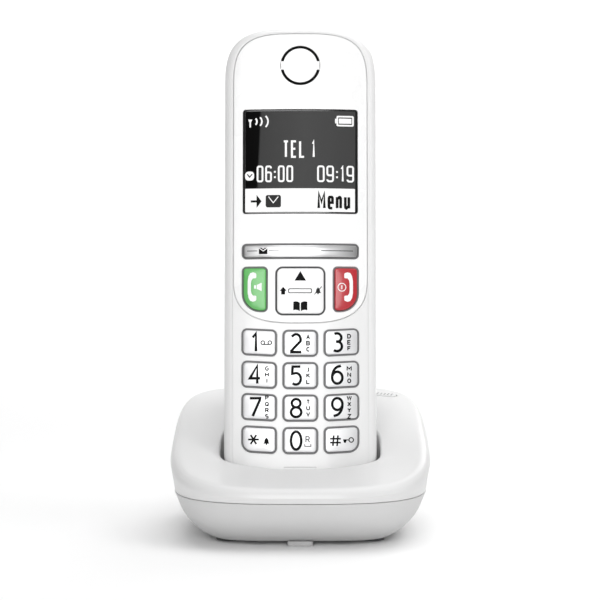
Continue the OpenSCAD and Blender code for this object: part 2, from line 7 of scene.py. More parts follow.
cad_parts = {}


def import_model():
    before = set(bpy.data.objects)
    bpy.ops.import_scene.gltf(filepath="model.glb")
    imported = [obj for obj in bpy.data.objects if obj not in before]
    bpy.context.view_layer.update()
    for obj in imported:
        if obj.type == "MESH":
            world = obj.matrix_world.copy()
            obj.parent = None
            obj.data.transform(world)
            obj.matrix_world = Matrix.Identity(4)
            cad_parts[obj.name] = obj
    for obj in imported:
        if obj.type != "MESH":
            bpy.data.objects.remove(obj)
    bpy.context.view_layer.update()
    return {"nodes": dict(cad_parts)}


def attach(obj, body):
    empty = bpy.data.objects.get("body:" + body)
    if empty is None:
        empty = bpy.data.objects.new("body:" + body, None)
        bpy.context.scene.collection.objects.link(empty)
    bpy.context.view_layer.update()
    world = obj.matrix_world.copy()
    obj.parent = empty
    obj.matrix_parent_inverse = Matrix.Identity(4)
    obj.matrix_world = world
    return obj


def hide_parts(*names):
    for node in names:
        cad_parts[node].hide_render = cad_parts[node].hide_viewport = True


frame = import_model()
MM = 0.001

# ---------------------------------------------------------------- dimensions, mm
LEAN = math.radians(9.5)
HS_Y, HS_Z = -9.0, 15.4
HS_LEN, HS_HW, HS_T = 154.9, 25.6, 27.0
FACE_R = 115.0
FACE_Y = -HS_T / 2
TOP_H, BOT_H = 22.0, 12.0
TOP_N, BOT_N = 3.6, 3.2
FASCIA_HW, FASCIA_TOP = 22.6, 152.8
PART_Y = -3.0
RIM_F, RIM_B = 20.6, 42.9
SEAM_Z = 16.0
FOOT_H = 1.3


# ---------------------------------------------------------------- maths
def sag(x):
    return FACE_R - np.sqrt(FACE_R ** 2 - np.asarray(x, float) ** 2)


def to_base(p):
    """Handset coordinates to the row frame."""
    p = np.asarray(p, float)
    c, s = math.cos(LEAN), math.sin(LEAN)
    return np.stack([p[..., 0], HS_Y + p[..., 1] * c + p[..., 2] * s,
                     HS_Z - p[..., 1] * s + p[..., 2] * c], -1)


def spow(v, e):
    return np.sign(v) * np.abs(v) ** e


def angles(n):
    return np.linspace(0, 2 * np.pi, n, endpoint=False)


def plan(a, bf, bb, nf, nb, tp, n=256):
    p = angles(n)
    c, s = np.cos(p), np.sin(p)
    e = nf + (nb - nf) * (0.5 + 0.5 * s)
    b = np.where(s < 0, bf, bb)
    r = ((np.abs(c) / a) ** e + (np.abs(s) / b) ** e) ** (-1 / e)
    y = r * s
    return np.stack([r * c * (1 - tp * y / 50), y], -1)


def rim_z(y):
    t = np.clip((y + 51) / 102, 0, 1)
    return RIM_F + (RIM_B - RIM_F) * np.sin(np.pi / 2 * t) ** 1.35


def flat(q, z):
    return np.column_stack([q, np.full(len(q), z)])


def sloped(q, dz):
    return np.column_stack([q, rim_z(q[:, 1]) + dz])


def pocket(d, n=256):
    p = angles(n)
    c, s = np.cos(p), np.sin(p)
    e = np.where(s < 0, 4.5, 3.0)
    r = ((np.abs(c) / (HS_HW + 1.3 + d)) ** e + (np.abs(s) / (HS_T / 2 + 0.8 + d)) ** e) ** (-1 / e)
    return np.stack([r * c, r * s], -1)


def edge_z(s):
    return 30.5 + 13 * s + np.where(s < 0, 5.9, -5.0) * s * s


def edge_ring(d, dz, n=256):
    q = pocket(d, n)
    z = edge_z(np.sin(angles(n))) + dz
    v = (z - HS_Z + q[:, 1] * math.sin(LEAN)) / math.cos(LEAN)
    return to_base(np.column_stack([q, v]))


def axis_ring(d, v, n=256):
    q = pocket(d, n)
    return to_base(np.column_stack([q, np.full(n, v)]))


def ease(a, b, t):
    h = t ** (1.6 + 0.6 * np.sin(angles(len(a))))
    out = a + (b - a) * t
    out[:, 2] = a[:, 2] + (b[:, 2] - a[:, 2]) * h
    return out


def outline(d, n=256):
    p = angles(n)
    c, s = np.cos(p), np.sin(p)
    e = np.where(s < 0, BOT_N, TOP_N)
    low = max(BOT_H, d + 1.0)
    h = np.where(s < 0, low - d, TOP_H - d + 0.3 * min(d, 2.7))
    x = spow(c, 2 / e) * (HS_HW - d)
    z = np.where(s < 0, low, HS_LEN - TOP_H) + spow(s, 2 / e) * h
    return np.stack([x, z], -1)


def hs_ring(d, y, c=0.0, n=256):
    q = outline(d, n)
    return np.column_stack([q[:, 0], y + c * sag(q[:, 0]), q[:, 1]])


def fascia(d, n=256):
    p = angles(n)
    c, s = np.cos(p), np.sin(p)
    e = np.where(s < 0, 3.0, TOP_N)
    h = np.where(s < 0, 17.0, FASCIA_TOP - HS_LEN + TOP_H) + d
    x = spow(c, 2 / e) * (FASCIA_HW + d)
    z = np.where(s < 0, 54.65 + 17.0, HS_LEN - TOP_H) + spow(s, 2 / e) * h
    return np.stack([x, z], -1)


def rounded(corners, radii, d=0.0, arc=8, edge=1.2):
    """Polygon with its own corner radii, grown by d, with the same points for every d."""
    pts = np.asarray(corners, float)
    n = len(pts)
    out, joins = [], []
    for i in range(n):
        p = pts[i]
        u = pts[i - 1] - p
        w = pts[(i + 1) % n] - p
        u, w = u / np.linalg.norm(u), w / np.linalg.norm(w)
        half = math.acos(float(u @ w)) / 2
        b = (u + w) / np.linalg.norm(u + w)
        r = radii[i]
        c = p + b * r / math.sin(half)
        t = r / math.tan(half)
        q0, q1 = p + u * t - c, p + w * t - c
        a0 = math.atan2(q0[1], q0[0])
        turn = (math.atan2(q1[1], q1[0]) - a0 + math.pi) % (2 * math.pi) - math.pi
        row = [c + (r + d) * np.array([math.cos(a0 + turn * k / arc), math.sin(a0 + turn * k / arc)])
               for k in range(arc + 1)]
        joins.append((row, c + r * np.array([math.cos(a0 + turn), math.sin(a0 + turn)]),
                      c + r * np.array([math.cos(a0), math.sin(a0)])))
    for i in range(n):
        row, end, _ = joins[i]
        nxt, _, start = joins[(i + 1) % n]
        out.extend(row)
        steps = max(1, int(np.linalg.norm(start - end) / edge))
        for k in range(1, steps):
            out.append(row[-1] + (nxt[0] - row[-1]) * k / steps)
    return np.array(out)


def box_shape(c, w, h, r, shear=0.0):
    rad = r if isinstance(r, (list, tuple)) else [r] * 4
    q = np.array([[-w / 2, -h / 2 - shear / 2], [w / 2, -h / 2 + shear / 2],
                  [w / 2, h / 2 + shear / 2], [-w / 2, h / 2 - shear / 2]]) + np.array(c)
    return lambda d=0.0: rounded(q, rad, d)


def circle_shape(c, r, n=96):
    p = angles(n)
    return lambda d=0.0: np.stack([c[0] + (r + d) * np.cos(p), c[1] + (r + d) * np.sin(p)], -1)


def inside(pts, poly):
    """Which points lie inside a polygon."""
    x, y = pts[:, 0][:, None], pts[:, 1][:, None]
    x0, y0 = poly[:, 0][None], poly[:, 1][None]
    x1, y1 = np.roll(poly[:, 0], -1)[None], np.roll(poly[:, 1], -1)[None]
    with np.errstate(divide="ignore", invalid="ignore"):
        hit = ((y0 > y) != (y1 > y)) & (x < (x1 - x0) * (y - y0) / (y1 - y0) + x0)
    return hit.sum(1) % 2 == 1


def winding(pts, poly):
    """How often a polygon goes round each point."""
    x, y = pts[:, 0][:, None], pts[:, 1][:, None]
    x0, y0 = poly[:, 0][None], poly[:, 1][None]
    x1, y1 = np.roll(poly[:, 0], -1)[None], np.roll(poly[:, 1], -1)[None]
    side = (x1 - x0) * (y - y0) - (x - x0) * (y1 - y0)
    return ((y0 <= y) & (y1 > y) & (side > 0)).sum(1) - ((y0 > y) & (y1 <= y) & (side < 0)).sum(1)


def near(pts, poly, gap):
    a, b = poly, np.roll(poly, -1, 0)
    ab = b - a
    t = ((pts[:, None] - a[None]) * ab[None]).sum(-1) / np.maximum((ab * ab).sum(-1)[None], 1e-12)
    q = a[None] + np.clip(t, 0, 1)[..., None] * ab[None]
    return np.sqrt(((pts[:, None] - q) ** 2).sum(-1)).min(1) < gap


def triangulate(outer, holes, step):
    """Triangles of a flat outline with holes, with a grid of points inside."""
    loops = [outer] + list(holes)
    lo, hi = outer.min(0), outer.max(0)
    gx = np.arange(lo[0] + step / 2, hi[0], step)
    gy = np.arange(lo[1] + step / 2, hi[1], step)
    grid = np.stack(np.meshgrid(gx, gy), -1).reshape(-1, 2)
    keep = inside(grid, outer)
    for h in holes:
        keep &= ~inside(grid, h)
    grid = grid[keep]
    for q in loops:
        if len(grid):
            grid = grid[~near(grid, q, step * 0.45)]
    pts = np.concatenate(loops + [grid])
    edges, base = [], 0
    for q in loops:
        m = len(q)
        edges += [(base + i, base + (i + 1) % m) for i in range(m)]
        base += m
    res = delaunay_2d_cdt([Vector((float(a), float(b))) for a, b in pts], edges, [], 1, 1e-7)
    v = np.array([[p.x, p.y] for p in res[0]])
    back = {}
    for i, src in enumerate(res[3]):
        if src:
            back[i] = src[0]
    tris = np.array([[back[k] for k in f] for f in res[2] if len(f) == 3 and all(k in back for k in f)])
    mid = pts[tris].mean(1)
    ok = inside(mid, outer)
    for h in holes:
        ok &= ~inside(mid, h)
    tris = tris[ok]
    a, b, c = pts[tris[:, 0]], pts[tris[:, 1]], pts[tris[:, 2]]
    area = (b[:, 0] - a[:, 0]) * (c[:, 1] - a[:, 1]) - (b[:, 1] - a[:, 1]) * (c[:, 0] - a[:, 0])
    tris[area < 0] = tris[area < 0][:, ::-1]
    return pts, tris[np.abs(area) > 1e-9]


# ---------------------------------------------------------------- meshes
def make(name, verts, faces, mat, body, cad=(), sharp=40.0, stage=False):
    me = bpy.data.meshes.new(name)
    me.from_pydata([tuple(float(k) * MM for k in p) for p in verts], [],
                   [tuple(int(k) for k in f) for f in faces])
    me.validate()
    me.polygons.foreach_set("use_smooth", [True] * len(me.polygons))
    me.set_sharp_from_angle(angle=math.radians(sharp))
    me.update()
    ob = bpy.data.objects.new(name, me)
    bpy.context.scene.collection.objects.link(ob)
    ob.data.materials.append(mat)
    if stage:
        return ob
    if cad:
        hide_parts(*cad)
    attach(ob, body)
    return ob


def volume(v, f):
    t = 0.0
    for q in f:
        for k in range(1, len(q) - 1):
            t += float(np.dot(v[q[0]], np.cross(v[q[k]], v[q[k + 1]])))
    return t


def oriented(v, f):
    return [tuple(reversed(q)) for q in f] if volume(np.asarray(v, float), f) < 0 else f


def smooth_rings(rings, sharp=(), steps=6):
    """Catmull-Rom rings through the given ones; the rings in sharp are corners."""
    cuts = sorted({0, len(rings) - 1} | set(sharp))
    out = []
    for a, b in zip(cuts, cuts[1:]):
        run = rings[a:b + 1]
        for k in range(len(run) - 1):
            p1, p2 = run[k], run[k + 1]
            p0 = run[k - 1] if k else p1 + (p1 - p2)
            p3 = run[k + 2] if k + 2 < len(run) else p2 + (p2 - p1)
            m = 1 if len(run) == 2 else steps
            for j in range(m):
                t = j / m
                out.append(0.5 * (2 * p1 + (p2 - p0) * t + (2 * p0 - 5 * p1 + 4 * p2 - p3) * t * t
                                  + (3 * p1 - p0 - 3 * p2 + p3) * t ** 3))
    out.append(rings[-1])
    return out


def loft(rings, caps=True):
    n, m = len(rings[0]), len(rings)
    v = list(np.concatenate(rings))
    f = []
    for k in range(m - 1):
        for i in range(n):
            j = (i + 1) % n
            f.append((k * n + i, k * n + j, (k + 1) * n + j, (k + 1) * n + i))
    if caps:
        for k, flip in ((0, True), (m - 1, False)):
            v.append(np.mean(rings[k], 0))
            c = len(v) - 1
            for i in range(n):
                j = (i + 1) % n
                f.append((c, k * n + j, k * n + i) if flip else (c, k * n + i, k * n + j))
    return np.array(v), oriented(v, f) if caps else f


def plate(shape, holes, thick, bevel, step=2.0, top=0.0, relief=None, seg=4):
    """Curved plate in handset coordinates: outline and holes are functions of a growth d."""
    outer = shape(-bevel)
    inner = [h(bevel) for h in holes]
    pts, tris = triangulate(outer, inner, step)
    verts, faces = [], []

    def put(q, h):
        x, z = q[:, 0], q[:, 1]
        lift = h + (relief(q) if relief is not None else 0.0)
        base = len(verts)
        verts.extend(np.column_stack([x, FACE_Y - top - lift + sag(x), z]))
        return base

    put(pts, 0.0)
    faces.extend(tuple(t) for t in tris)
    loops, start = [], 0
    for fn, sign in [(shape, 1)] + [(h, -1) for h in holes]:
        m = len(fn(0.0))
        prev = start
        for j in range(1, seg + 1):
            a = math.pi / 2 * j / seg
            cur = put(fn(sign * (-bevel + bevel * math.sin(a))), -bevel * (1 - math.cos(a)))
            faces.extend((prev + i, cur + i, cur + (i + 1) % m, prev + (i + 1) % m) for i in range(m))
            prev = cur
        cur = put(fn(0.0), -thick)
        faces.extend((prev + i, cur + i, cur + (i + 1) % m, prev + (i + 1) % m) for i in range(m))
        loops.append((start, cur, m))
        start += m
    grid = pts[start:]
    back = put(grid, -thick) if len(grid) else 0
    swap = {}
    for s, c, m in loops:
        for i in range(m):
            swap[s + i] = c + i
    for i in range(len(grid)):
        swap[start + i] = back + i
    faces.extend(tuple(swap[k] for k in t[::-1]) for t in tris)
    v = np.array(verts)
    return v, oriented(v, faces)


def join(parts):
    v, f, base = [], [], 0
    for a, b in parts:
        v.append(np.asarray(a))
        f += [tuple(k + base for k in q) for q in b]
        base += len(a)
    return np.concatenate(v), f


def lathe(profile, centre, n=64):
    """Solid of revolution about Z; profile is (radius, height) from the axis to the axis."""
    rings = []
    p = angles(n)
    for r, z in profile:
        rings.append(np.column_stack([centre[0] + r * np.cos(p), centre[1] + r * np.sin(p), np.full(n, z)]))
    return loft(rings)


def block(lo, hi, r, seg=3):
    """Box with rounded edges all round."""
    lo, hi = np.array(lo, float), np.array(hi, float)
    c, h = (lo + hi) / 2, (hi - lo) / 2
    fn = box_shape((0, 0), 2 * h[0], 2 * h[1], r)
    rings = []
    for j in range(seg + 1):
        a = math.pi / 2 * j / seg
        rings.append(flat(fn(-r + r * math.sin(a)) + c[:2], lo[2] + r * (1 - math.cos(a))))
    for j in range(seg + 1):
        a = math.pi / 2 * (1 - j / seg)
        rings.append(flat(fn(-r + r * math.sin(a)) + c[:2], hi[2] - r * (1 - math.cos(a))))
    return loft(rings)


# ---------------------------------------------------------------- materials
def material(name, color, rough=0.4, metal=0.0, coat=0.0, spec=0.5, grain=0.0, grain_size=0.0004,
             vary=0.03, rough_vary=0.05, sheen=0.0, emit=0.0):
    """Moulded material: slight colour variation, roughness variation and surface grain from noise."""
    m = bpy.data.materials.new(name)
    m.use_nodes = True
    nt = m.node_tree
    b = nt.nodes["Principled BSDF"]
    tc = nt.nodes.new("ShaderNodeTexCoord")
    big = nt.nodes.new("ShaderNodeTexNoise")
    big.inputs["Scale"].default_value = 60.0
    big.inputs["Detail"].default_value = 3.0
    nt.links.new(tc.outputs["Object"], big.inputs["Vector"])
    ramp = nt.nodes.new("ShaderNodeValToRGB")
    lo = [max(0.0, c * (1 - vary)) for c in color]
    hi = [min(1.0, c * (1 + vary)) for c in color]
    ramp.color_ramp.elements[0].color = (*lo, 1)
    ramp.color_ramp.elements[1].color = (*hi, 1)
    ramp.color_ramp.elements[0].position = 0.3
    ramp.color_ramp.elements[1].position = 0.7
    nt.links.new(big.outputs["Fac"], ramp.inputs["Fac"])
    nt.links.new(ramp.outputs["Color"], b.inputs["Base Color"])
    mr = nt.nodes.new("ShaderNodeMapRange")
    mr.inputs["To Min"].default_value = max(0.0, rough - rough_vary)
    mr.inputs["To Max"].default_value = min(1.0, rough + rough_vary)
    nt.links.new(big.outputs["Fac"], mr.inputs["Value"])
    nt.links.new(mr.outputs["Result"], b.inputs["Roughness"])
    b.inputs["Metallic"].default_value = metal
    b.inputs["Specular IOR Level"].default_value = spec
    b.inputs["Coat Weight"].default_value = coat
    b.inputs["Coat Roughness"].default_value = 0.08
    b.inputs["Sheen Weight"].default_value = sheen
    if emit:
        b.inputs["Emission Color"].default_value = (*color, 1)
        b.inputs["Emission Strength"].default_value = emit
    if grain:
        fine = nt.nodes.new("ShaderNodeTexNoise")
        fine.inputs["Scale"].default_value = 1.0 / grain_size
        fine.inputs["Detail"].default_value = 2.0
        nt.links.new(tc.outputs["Object"], fine.inputs["Vector"])
        bump = nt.nodes.new("ShaderNodeBump")
        bump.inputs["Strength"].default_value = grain
        bump.inputs["Distance"].default_value = 0.00004
        nt.links.new(fine.outputs["Fac"], bump.inputs["Height"])
        nt.links.new(bump.outputs["Normal"], b.inputs["Normal"])
    return m


WHITE = material("white_gloss", (0.9, 0.9, 0.9), 0.28, coat=0.3, grain=0.05, grain_size=0.0009, vary=0.004)
HOUSING = material("white_housing", (0.8, 0.8, 0.8), 0.3, coat=0.25, grain=0.05, grain_size=0.0009,
                   vary=0.004)
SHELL = material("white_shell", (0.715, 0.715, 0.715), 0.34, coat=0.15, spec=0.35, grain=0.08,
                 grain_size=0.0005, vary=0.005)
LOWER = material("lower_shell", (0.62, 0.62, 0.62), 0.45, grain=0.2, grain_size=0.0005, vary=0.006)
FIELD = material("keypad_field", (0.89, 0.89, 0.89), 0.42, grain=0.2, grain_size=0.0004, vary=0.005)
KEY = material("key_satin", (0.76, 0.76, 0.77), 0.36, metal=0.4, coat=0.0, grain=0.1, grain_size=0.0004,
               vary=0.008)
NAV = material("key_gloss", (0.9, 0.9, 0.9), 0.25, coat=0.4, grain=0.04, grain_size=0.0008, vary=0.01)
GREEN = material("key_green", (0.12, 0.47, 0.12), 0.3, coat=0.3, grain=0.05, grain_size=0.0006, vary=0.04)
RED = material("key_red", (0.46, 0.02, 0.03), 0.3, coat=0.3, grain=0.05, grain_size=0.0006, vary=0.05)
# dark grey of the keypad mat, which also serves as painted shade in the gaps round the keys
MAT_AND_GAP_SHADE = material("silicone_mat_and_gap_shade", (0.22, 0.22, 0.225), 0.62, grain=0.25, grain_size=0.0003, vary=0.05)
BLACK = material("window_black", (0.006, 0.006, 0.006), 0.12, coat=0.5, vary=0.05)
CLOTH = material("felt_black", (0.006, 0.006, 0.006), 0.9, spec=0.05, grain=0.8, grain_size=0.00015, vary=0.2)
INK = material("ink_black", (0.008, 0.008, 0.008), 0.6, spec=0.05, vary=0.1, grain=0.05, grain_size=0.0002)
INK_SOFT = material("ink_grey", (0.035, 0.035, 0.035), 0.6, spec=0.05, vary=0.1, grain=0.05,
                    grain_size=0.0002)
INK_WHITE = material("ink_white", (0.9, 0.9, 0.9), 0.5, vary=0.02, grain=0.05, grain_size=0.0002)
LIT = material("display_light", (0.82, 0.82, 0.82), 0.4, vary=0.01, emit=0.1)
TAB = material("tab_grey", (0.5, 0.5, 0.5), 0.5, grain=0.15, vary=0.03)
RUBBER = material("foot_rubber", (0.12, 0.12, 0.125), 0.75, grain=0.4, grain_size=0.0003, vary=0.08)
DARK = material("dark_plastic", (0.035, 0.035, 0.04), 0.45, grain=0.2, vary=0.08)
GREY = material("grey_plastic", (0.32, 0.32, 0.33), 0.45, grain=0.2, vary=0.05)
STEEL = material("tinned_steel", (0.6, 0.6, 0.61), 0.32, metal=1.0, grain=0.2, grain_size=0.0002, vary=0.05)
GOLD = material("gold_plate", (0.83, 0.6, 0.25), 0.22, metal=1.0, grain=0.08, vary=0.05)
BOARD = material("board_green", (0.02, 0.16, 0.06), 0.42, coat=0.2, grain=0.3, vary=0.15)
CELL = material("cell_sleeve", (0.05, 0.22, 0.11), 0.3, coat=0.3, grain=0.05, vary=0.06)
PALE = material("diffuser", (0.85, 0.87, 0.9), 0.35, grain=0.05, vary=0.02)


def silver():
    """Brushed silver bar with a painted reflection: light in the middle, darker towards both ends."""
    m = material("key_silver_painted_reflection", (0.6, 0.6, 0.61), 0.33, metal=0.55, coat=0.2, grain=0.1, grain_size=0.0002,
                 vary=0.02)
    nt = m.node_tree
    tc = nt.nodes.new("ShaderNodeTexCoord")
    sp = nt.nodes.new("ShaderNodeSeparateXYZ")
    nt.links.new(tc.outputs["Object"], sp.inputs["Vector"])
    mr = nt.nodes.new("ShaderNodeMapRange")
    mr.inputs["From Min"].default_value = -0.0198
    mr.inputs["From Max"].default_value = 0.0198
    nt.links.new(sp.outputs["X"], mr.inputs["Value"])
    ramp = nt.nodes.new("ShaderNodeValToRGB")
    ramp.color_ramp.interpolation = "EASE"
    # painted reflection: the bar's colour is light in the middle and darker towards both ends
    stops = [(0.0, 0.32), (0.14, 0.48), (0.36, 0.88), (0.55, 0.85), (0.76, 0.5), (1.0, 0.32)]
    while len(ramp.color_ramp.elements) < len(stops):
        ramp.color_ramp.elements.new(0.5)
    for e, (p, c) in zip(ramp.color_ramp.elements, stops):
        e.position = p
        e.color = (c, c, c * 1.01, 1)
    nt.links.new(mr.outputs["Result"], ramp.inputs["Fac"])
    nt.links.new(ramp.outputs["Color"], nt.nodes["Principled BSDF"].inputs["Base Color"])
    return m


def screen():
    """Dark display with painted light: the screen's glow is painted as grey fading to the right, ending in a
    black band at the left under a slanted edge.
    """
    m = material("display_screen_painted_glow", (0.05, 0.05, 0.05), 0.35, spec=0.02, vary=0.02)
    nt = m.node_tree
    tc = nt.nodes.new("ShaderNodeTexCoord")
    sp = nt.nodes.new("ShaderNodeSeparateXYZ")
    nt.links.new(tc.outputs["Object"], sp.inputs["Vector"])
    sl = nt.nodes.new("ShaderNodeMath")
    sl.operation = "MULTIPLY_ADD"
    sl.inputs[1].default_value = -0.045
    nt.links.new(sp.outputs["Z"], sl.inputs[0])
    nt.links.new(sp.outputs["X"], sl.inputs[2])
    mr = nt.nodes.new("ShaderNodeMapRange")
    mr.inputs["From Min"].default_value = -0.0256
    mr.inputs["From Max"].default_value = 0.0124
    nt.links.new(sl.outputs["Value"], mr.inputs["Value"])
    ramp = nt.nodes.new("ShaderNodeValToRGB")
    # painted glow: black band at the left, then grey fading towards the right
    stops = [(0.0, 0.001), (0.148, 0.001), (0.165, 0.05), (0.55, 0.066), (1.0, 0.055)]
    while len(ramp.color_ramp.elements) < len(stops):
        ramp.color_ramp.elements.new(0.5)
    for e, (p, c) in zip(ramp.color_ramp.elements, stops):
        e.position = p
        e.color = (c, c, c, 1)
    nt.links.new(mr.outputs["Result"], ramp.inputs["Fac"])
    nt.links.new(ramp.outputs["Color"], nt.nodes["Principled BSDF"].inputs["Base Color"])
    return m


SILVER_PAINTED_REFLECTION = silver()
SCREEN_PAINTED_GLOW = screen()


# ---------------------------------------------------------------- printed marks
inks = {}
MARK_EDGE = 0.35
MARK_LIFT = 0.02


def dense(loop, gap=MARK_EDGE):
    """The same outline with no edge longer than gap."""
    loop = np.asarray(loop, float)
    out = []
    for p, q in zip(loop, np.roll(loop, -1, 0)):
        k = max(1, int(math.ceil(np.linalg.norm(q - p) / gap)))
        out += [p + (q - p) * i / k for i in range(k)]
    return np.array(out)


def area_mesh(loops, rule, step=0.45):
    """Triangles of the area that the outlines cover: any of them, or an odd number of them."""
    loops = [dense(q) for q in loops]
    every = np.concatenate(loops)
    lo, hi = every.min(0), every.max(0)
    gx = np.arange(lo[0] + step / 2, hi[0], step)
    gy = np.arange(lo[1] + step / 2, hi[1], step)
    grid = np.stack(np.meshgrid(gx, gy), -1).reshape(-1, 2)

    def covered(p):
        turns = np.array([winding(p, q) for q in loops])
        return (turns != 0).any(0) if rule == "any" else turns.sum(0) % 2 == 1

    if len(grid):
        grid = grid[covered(grid)]
    for q in loops:
        if len(grid):
            grid = grid[~near(grid, q, step * 0.4)]
    edges, base = [], 0
    for q in loops:
        edges += [(base + i, base + (i + 1) % len(q)) for i in range(len(q))]
        base += len(q)
    pts = np.concatenate([every, grid]) if len(grid) else every
    res = delaunay_2d_cdt([Vector((float(x), float(y))) for x, y in pts], edges, [], 0, 1e-6)
    v = np.array([[p.x, p.y] for p in res[0]])
    t = np.array([f for f in res[2] if len(f) == 3])
    t = t[covered(v[t].mean(1))]
    u, w = v[t[:, 1]] - v[t[:, 0]], v[t[:, 2]] - v[t[:, 0]]
    size = u[:, 0] * w[:, 1] - u[:, 1] * w[:, 0]
    t[size < 0] = t[size < 0][:, ::-1]
    t = t[np.abs(size) > 1e-10]
    used = np.unique(t)
    new = np.full(len(v), -1)
    new[used] = np.arange(len(used))
    return v[used], new[t]


def mark(loops, key, top, rule="odd", depth=0.06):
    """Printed mark standing a hair above a face; key is its body, ink and the face's relief."""
    q, t = area_mesh(loops, rule)
    relief = key[2] if len(key) > 2 else None
    lift = relief(q) if relief is not None else 0.0
    front = np.column_stack([q[:, 0], FACE_Y - top - lift + sag(q[:, 0]) - MARK_LIFT, q[:, 1]])
    v = np.concatenate([front, front + np.array([0, depth, 0])])
    n = len(q)
    edges = {(f[i], f[(i + 1) % 3]) for f in t for i in range(3)}
    sides = [(j, i, n + i, n + j) for i, j in edges if (j, i) not in edges]
    f = [tuple(k) for k in t] + [tuple(n + k for k in r[::-1]) for r in t] + sides
    inks.setdefault(key[:2], []).append((v, f))


def stamp(poly, key, top, holes=()):
    mark([poly] + list(holes), key, top)


def stroke(path, w):
    """Outline of a line of width w along a path."""
    p = np.asarray(path, float)
    d = np.zeros_like(p)
    seg = p[1:] - p[:-1]
    seg /= np.linalg.norm(seg, axis=1)[:, None]
    d[0], d[-1] = seg[0], seg[-1]
    scale = np.ones(len(p))
    if len(p) > 2:
        m = seg[1:] + seg[:-1]
        m /= np.linalg.norm(m, axis=1)[:, None]
        d[1:-1] = m
        scale[1:-1] = 1 / np.maximum((m * seg[1:]).sum(1), 0.5)
    nrm = np.stack([-d[:, 1], d[:, 0]], -1) * scale[:, None]
    return np.concatenate([p + nrm * w / 2, (p - nrm * w / 2)[::-1]])


def draw(paths, w, key, top, centre=(0, 0), size=(1, 1)):
    """Strokes of one width, joined into one mark; the paths are given in a unit box round 0,0."""
    c, k = np.array(centre, float), np.array(size, float) - w
    mark([stroke(np.asarray(p, float) * k + c, w) for p in paths], key, top, rule="any")


def arc(c, r, a0, a1, n=20, ry=None):
    a = np.radians(np.linspace(a0, a1, n))
    return np.stack([c[0] + r * np.cos(a), c[1] + (ry or r) * np.sin(a)], -1)


def rect(x0, y0, x1, y1):
    return [(x0, y0), (x1, y0), (x1, y1), (x0, y1)]


def bend(*runs):
    """One path through points and arcs."""
    return np.concatenate([np.atleast_2d(np.asarray(r, float)) for r in runs])


# Digits as pen paths in a box one wide and one high, round its middle
DIGITS = {
    "0": [bend(arc((0, 0), 0.5, 90, 450, 49))],
    "1": [bend((-0.5, 0.27), (0.2, 0.5), (0.2, -0.5))],
    "2": [bend((-0.44, 0.36), arc((0, 0.2), 0.44, 130, -20, 22, ry=0.3), (-0.46, -0.42), (-0.46, -0.5),
               (0.5, -0.5))],
    "3": [bend(arc((-0.02, 0.26), 0.42, 125, -75, 24, ry=0.24), (-0.12, 0.035)),
          bend((-0.12, 0.035), arc((-0.02, -0.23), 0.48, 85, -130, 26, ry=0.27))],
    "4": [bend((0.22, -0.5), (0.22, 0.5), (-0.5, -0.2), (0.5, -0.2))],
    "5": [bend((0.42, 0.5), (-0.34, 0.5), (-0.38, 0.1), arc((-0.02, -0.18), 0.48, 112, -130, 30, ry=0.32))],
    "6": [bend((0.36, 0.5), arc((0.3, -0.14), 0.8, 100, 180, 16, ry=0.62)[2:],
               arc((0.0, -0.17), 0.5, 180, 540, 44, ry=0.33))],
    "7": [bend((-0.5, 0.5), (0.5, 0.5), (0.48, 0.4), (-0.22, -0.5))],
    "8": [bend(arc((0, 0.27), 0.42, 270, 630, 40, ry=0.23)),
          bend(arc((0, -0.23), 0.5, 90, 450, 44, ry=0.27))],
    "9": [bend((-0.36, -0.5), arc((-0.3, 0.14), 0.8, -80, 0, 16, ry=0.62)[:-2],
               arc((0.0, 0.17), 0.5, 0, 360, 44, ry=0.33))],
}


# Narrow display letters, the same way
def slot_ring(x0=-0.5, x1=0.5, y0=-0.5, y1=0.5, r=0.28, ry=0.13, a=90, b=450):
    pts = [arc((x1 - r, y1 - ry), r, 90, 0, 6, ry), arc((x1 - r, y0 + ry), r, 0, -90, 6, ry),
           arc((x0 + r, y0 + ry), r, 270, 180, 6, ry), arc((x0 + r, y1 - ry), r, 180, 90, 6, ry)]
    ring = np.concatenate(pts)
    return np.concatenate([ring, ring[:1]])


DISPLAY = {
    "0": [slot_ring()],
    "6": [bend(arc((0.22, 0.37), 0.28, 0, 90, 6, 0.13), arc((-0.22, 0.37), 0.28, 90, 180, 6, 0.13),
               (-0.5, -0.1)),
          slot_ring(y1=0.1)],
    "9": [bend(arc((-0.22, -0.37), 0.28, 180, 270, 6, 0.13), arc((0.22, -0.37), 0.28, 270, 360, 6, 0.13),
               (0.5, 0.1)),
          slot_ring(y0=-0.1)],
    "1": [bend((-0.35, 0.34), (0.1, 0.5), (0.1, -0.5))],
    "T": [bend((-0.5, 0.5), (0.5, 0.5)), bend((0, 0.5), (0, -0.5))],
    "E": [bend((0.45, 0.5), (-0.5, 0.5), (-0.5, -0.5), (0.45, -0.5)), bend((-0.5, 0.02), (0.3, 0.02))],
    "L": [bend((-0.5, 0.5), (-0.5, -0.5), (0.45, -0.5))],
    "M": [bend((-0.5, -0.5), (-0.5, 0.5), (0, -0.1), (0.5, 0.5), (0.5, -0.5))],
    "e": [bend((-0.5, -0.13), (0.5, -0.13), arc((0.22, 0.13), 0.28, 0, 90, 5, 0.11),
               arc((-0.22, 0.13), 0.28, 90, 180, 5, 0.11),
               arc((-0.22, -0.39), 0.28, 180, 270, 5, 0.11), (0.45, -0.5))],
    "n": [bend((-0.5, -0.5), (-0.5, 0.24)), bend((-0.5, 0.1), arc((0.2, 0.12), 0.3, 100, 0, 6, 0.12),
                                                 (0.5, -0.5))],
    "u": [bend((-0.5, 0.24), arc((-0.2, -0.38), 0.3, 180, 270, 6, 0.12), (0.5, -0.36)),
          bend((0.5, 0.24), (0.5, -0.5))],
}


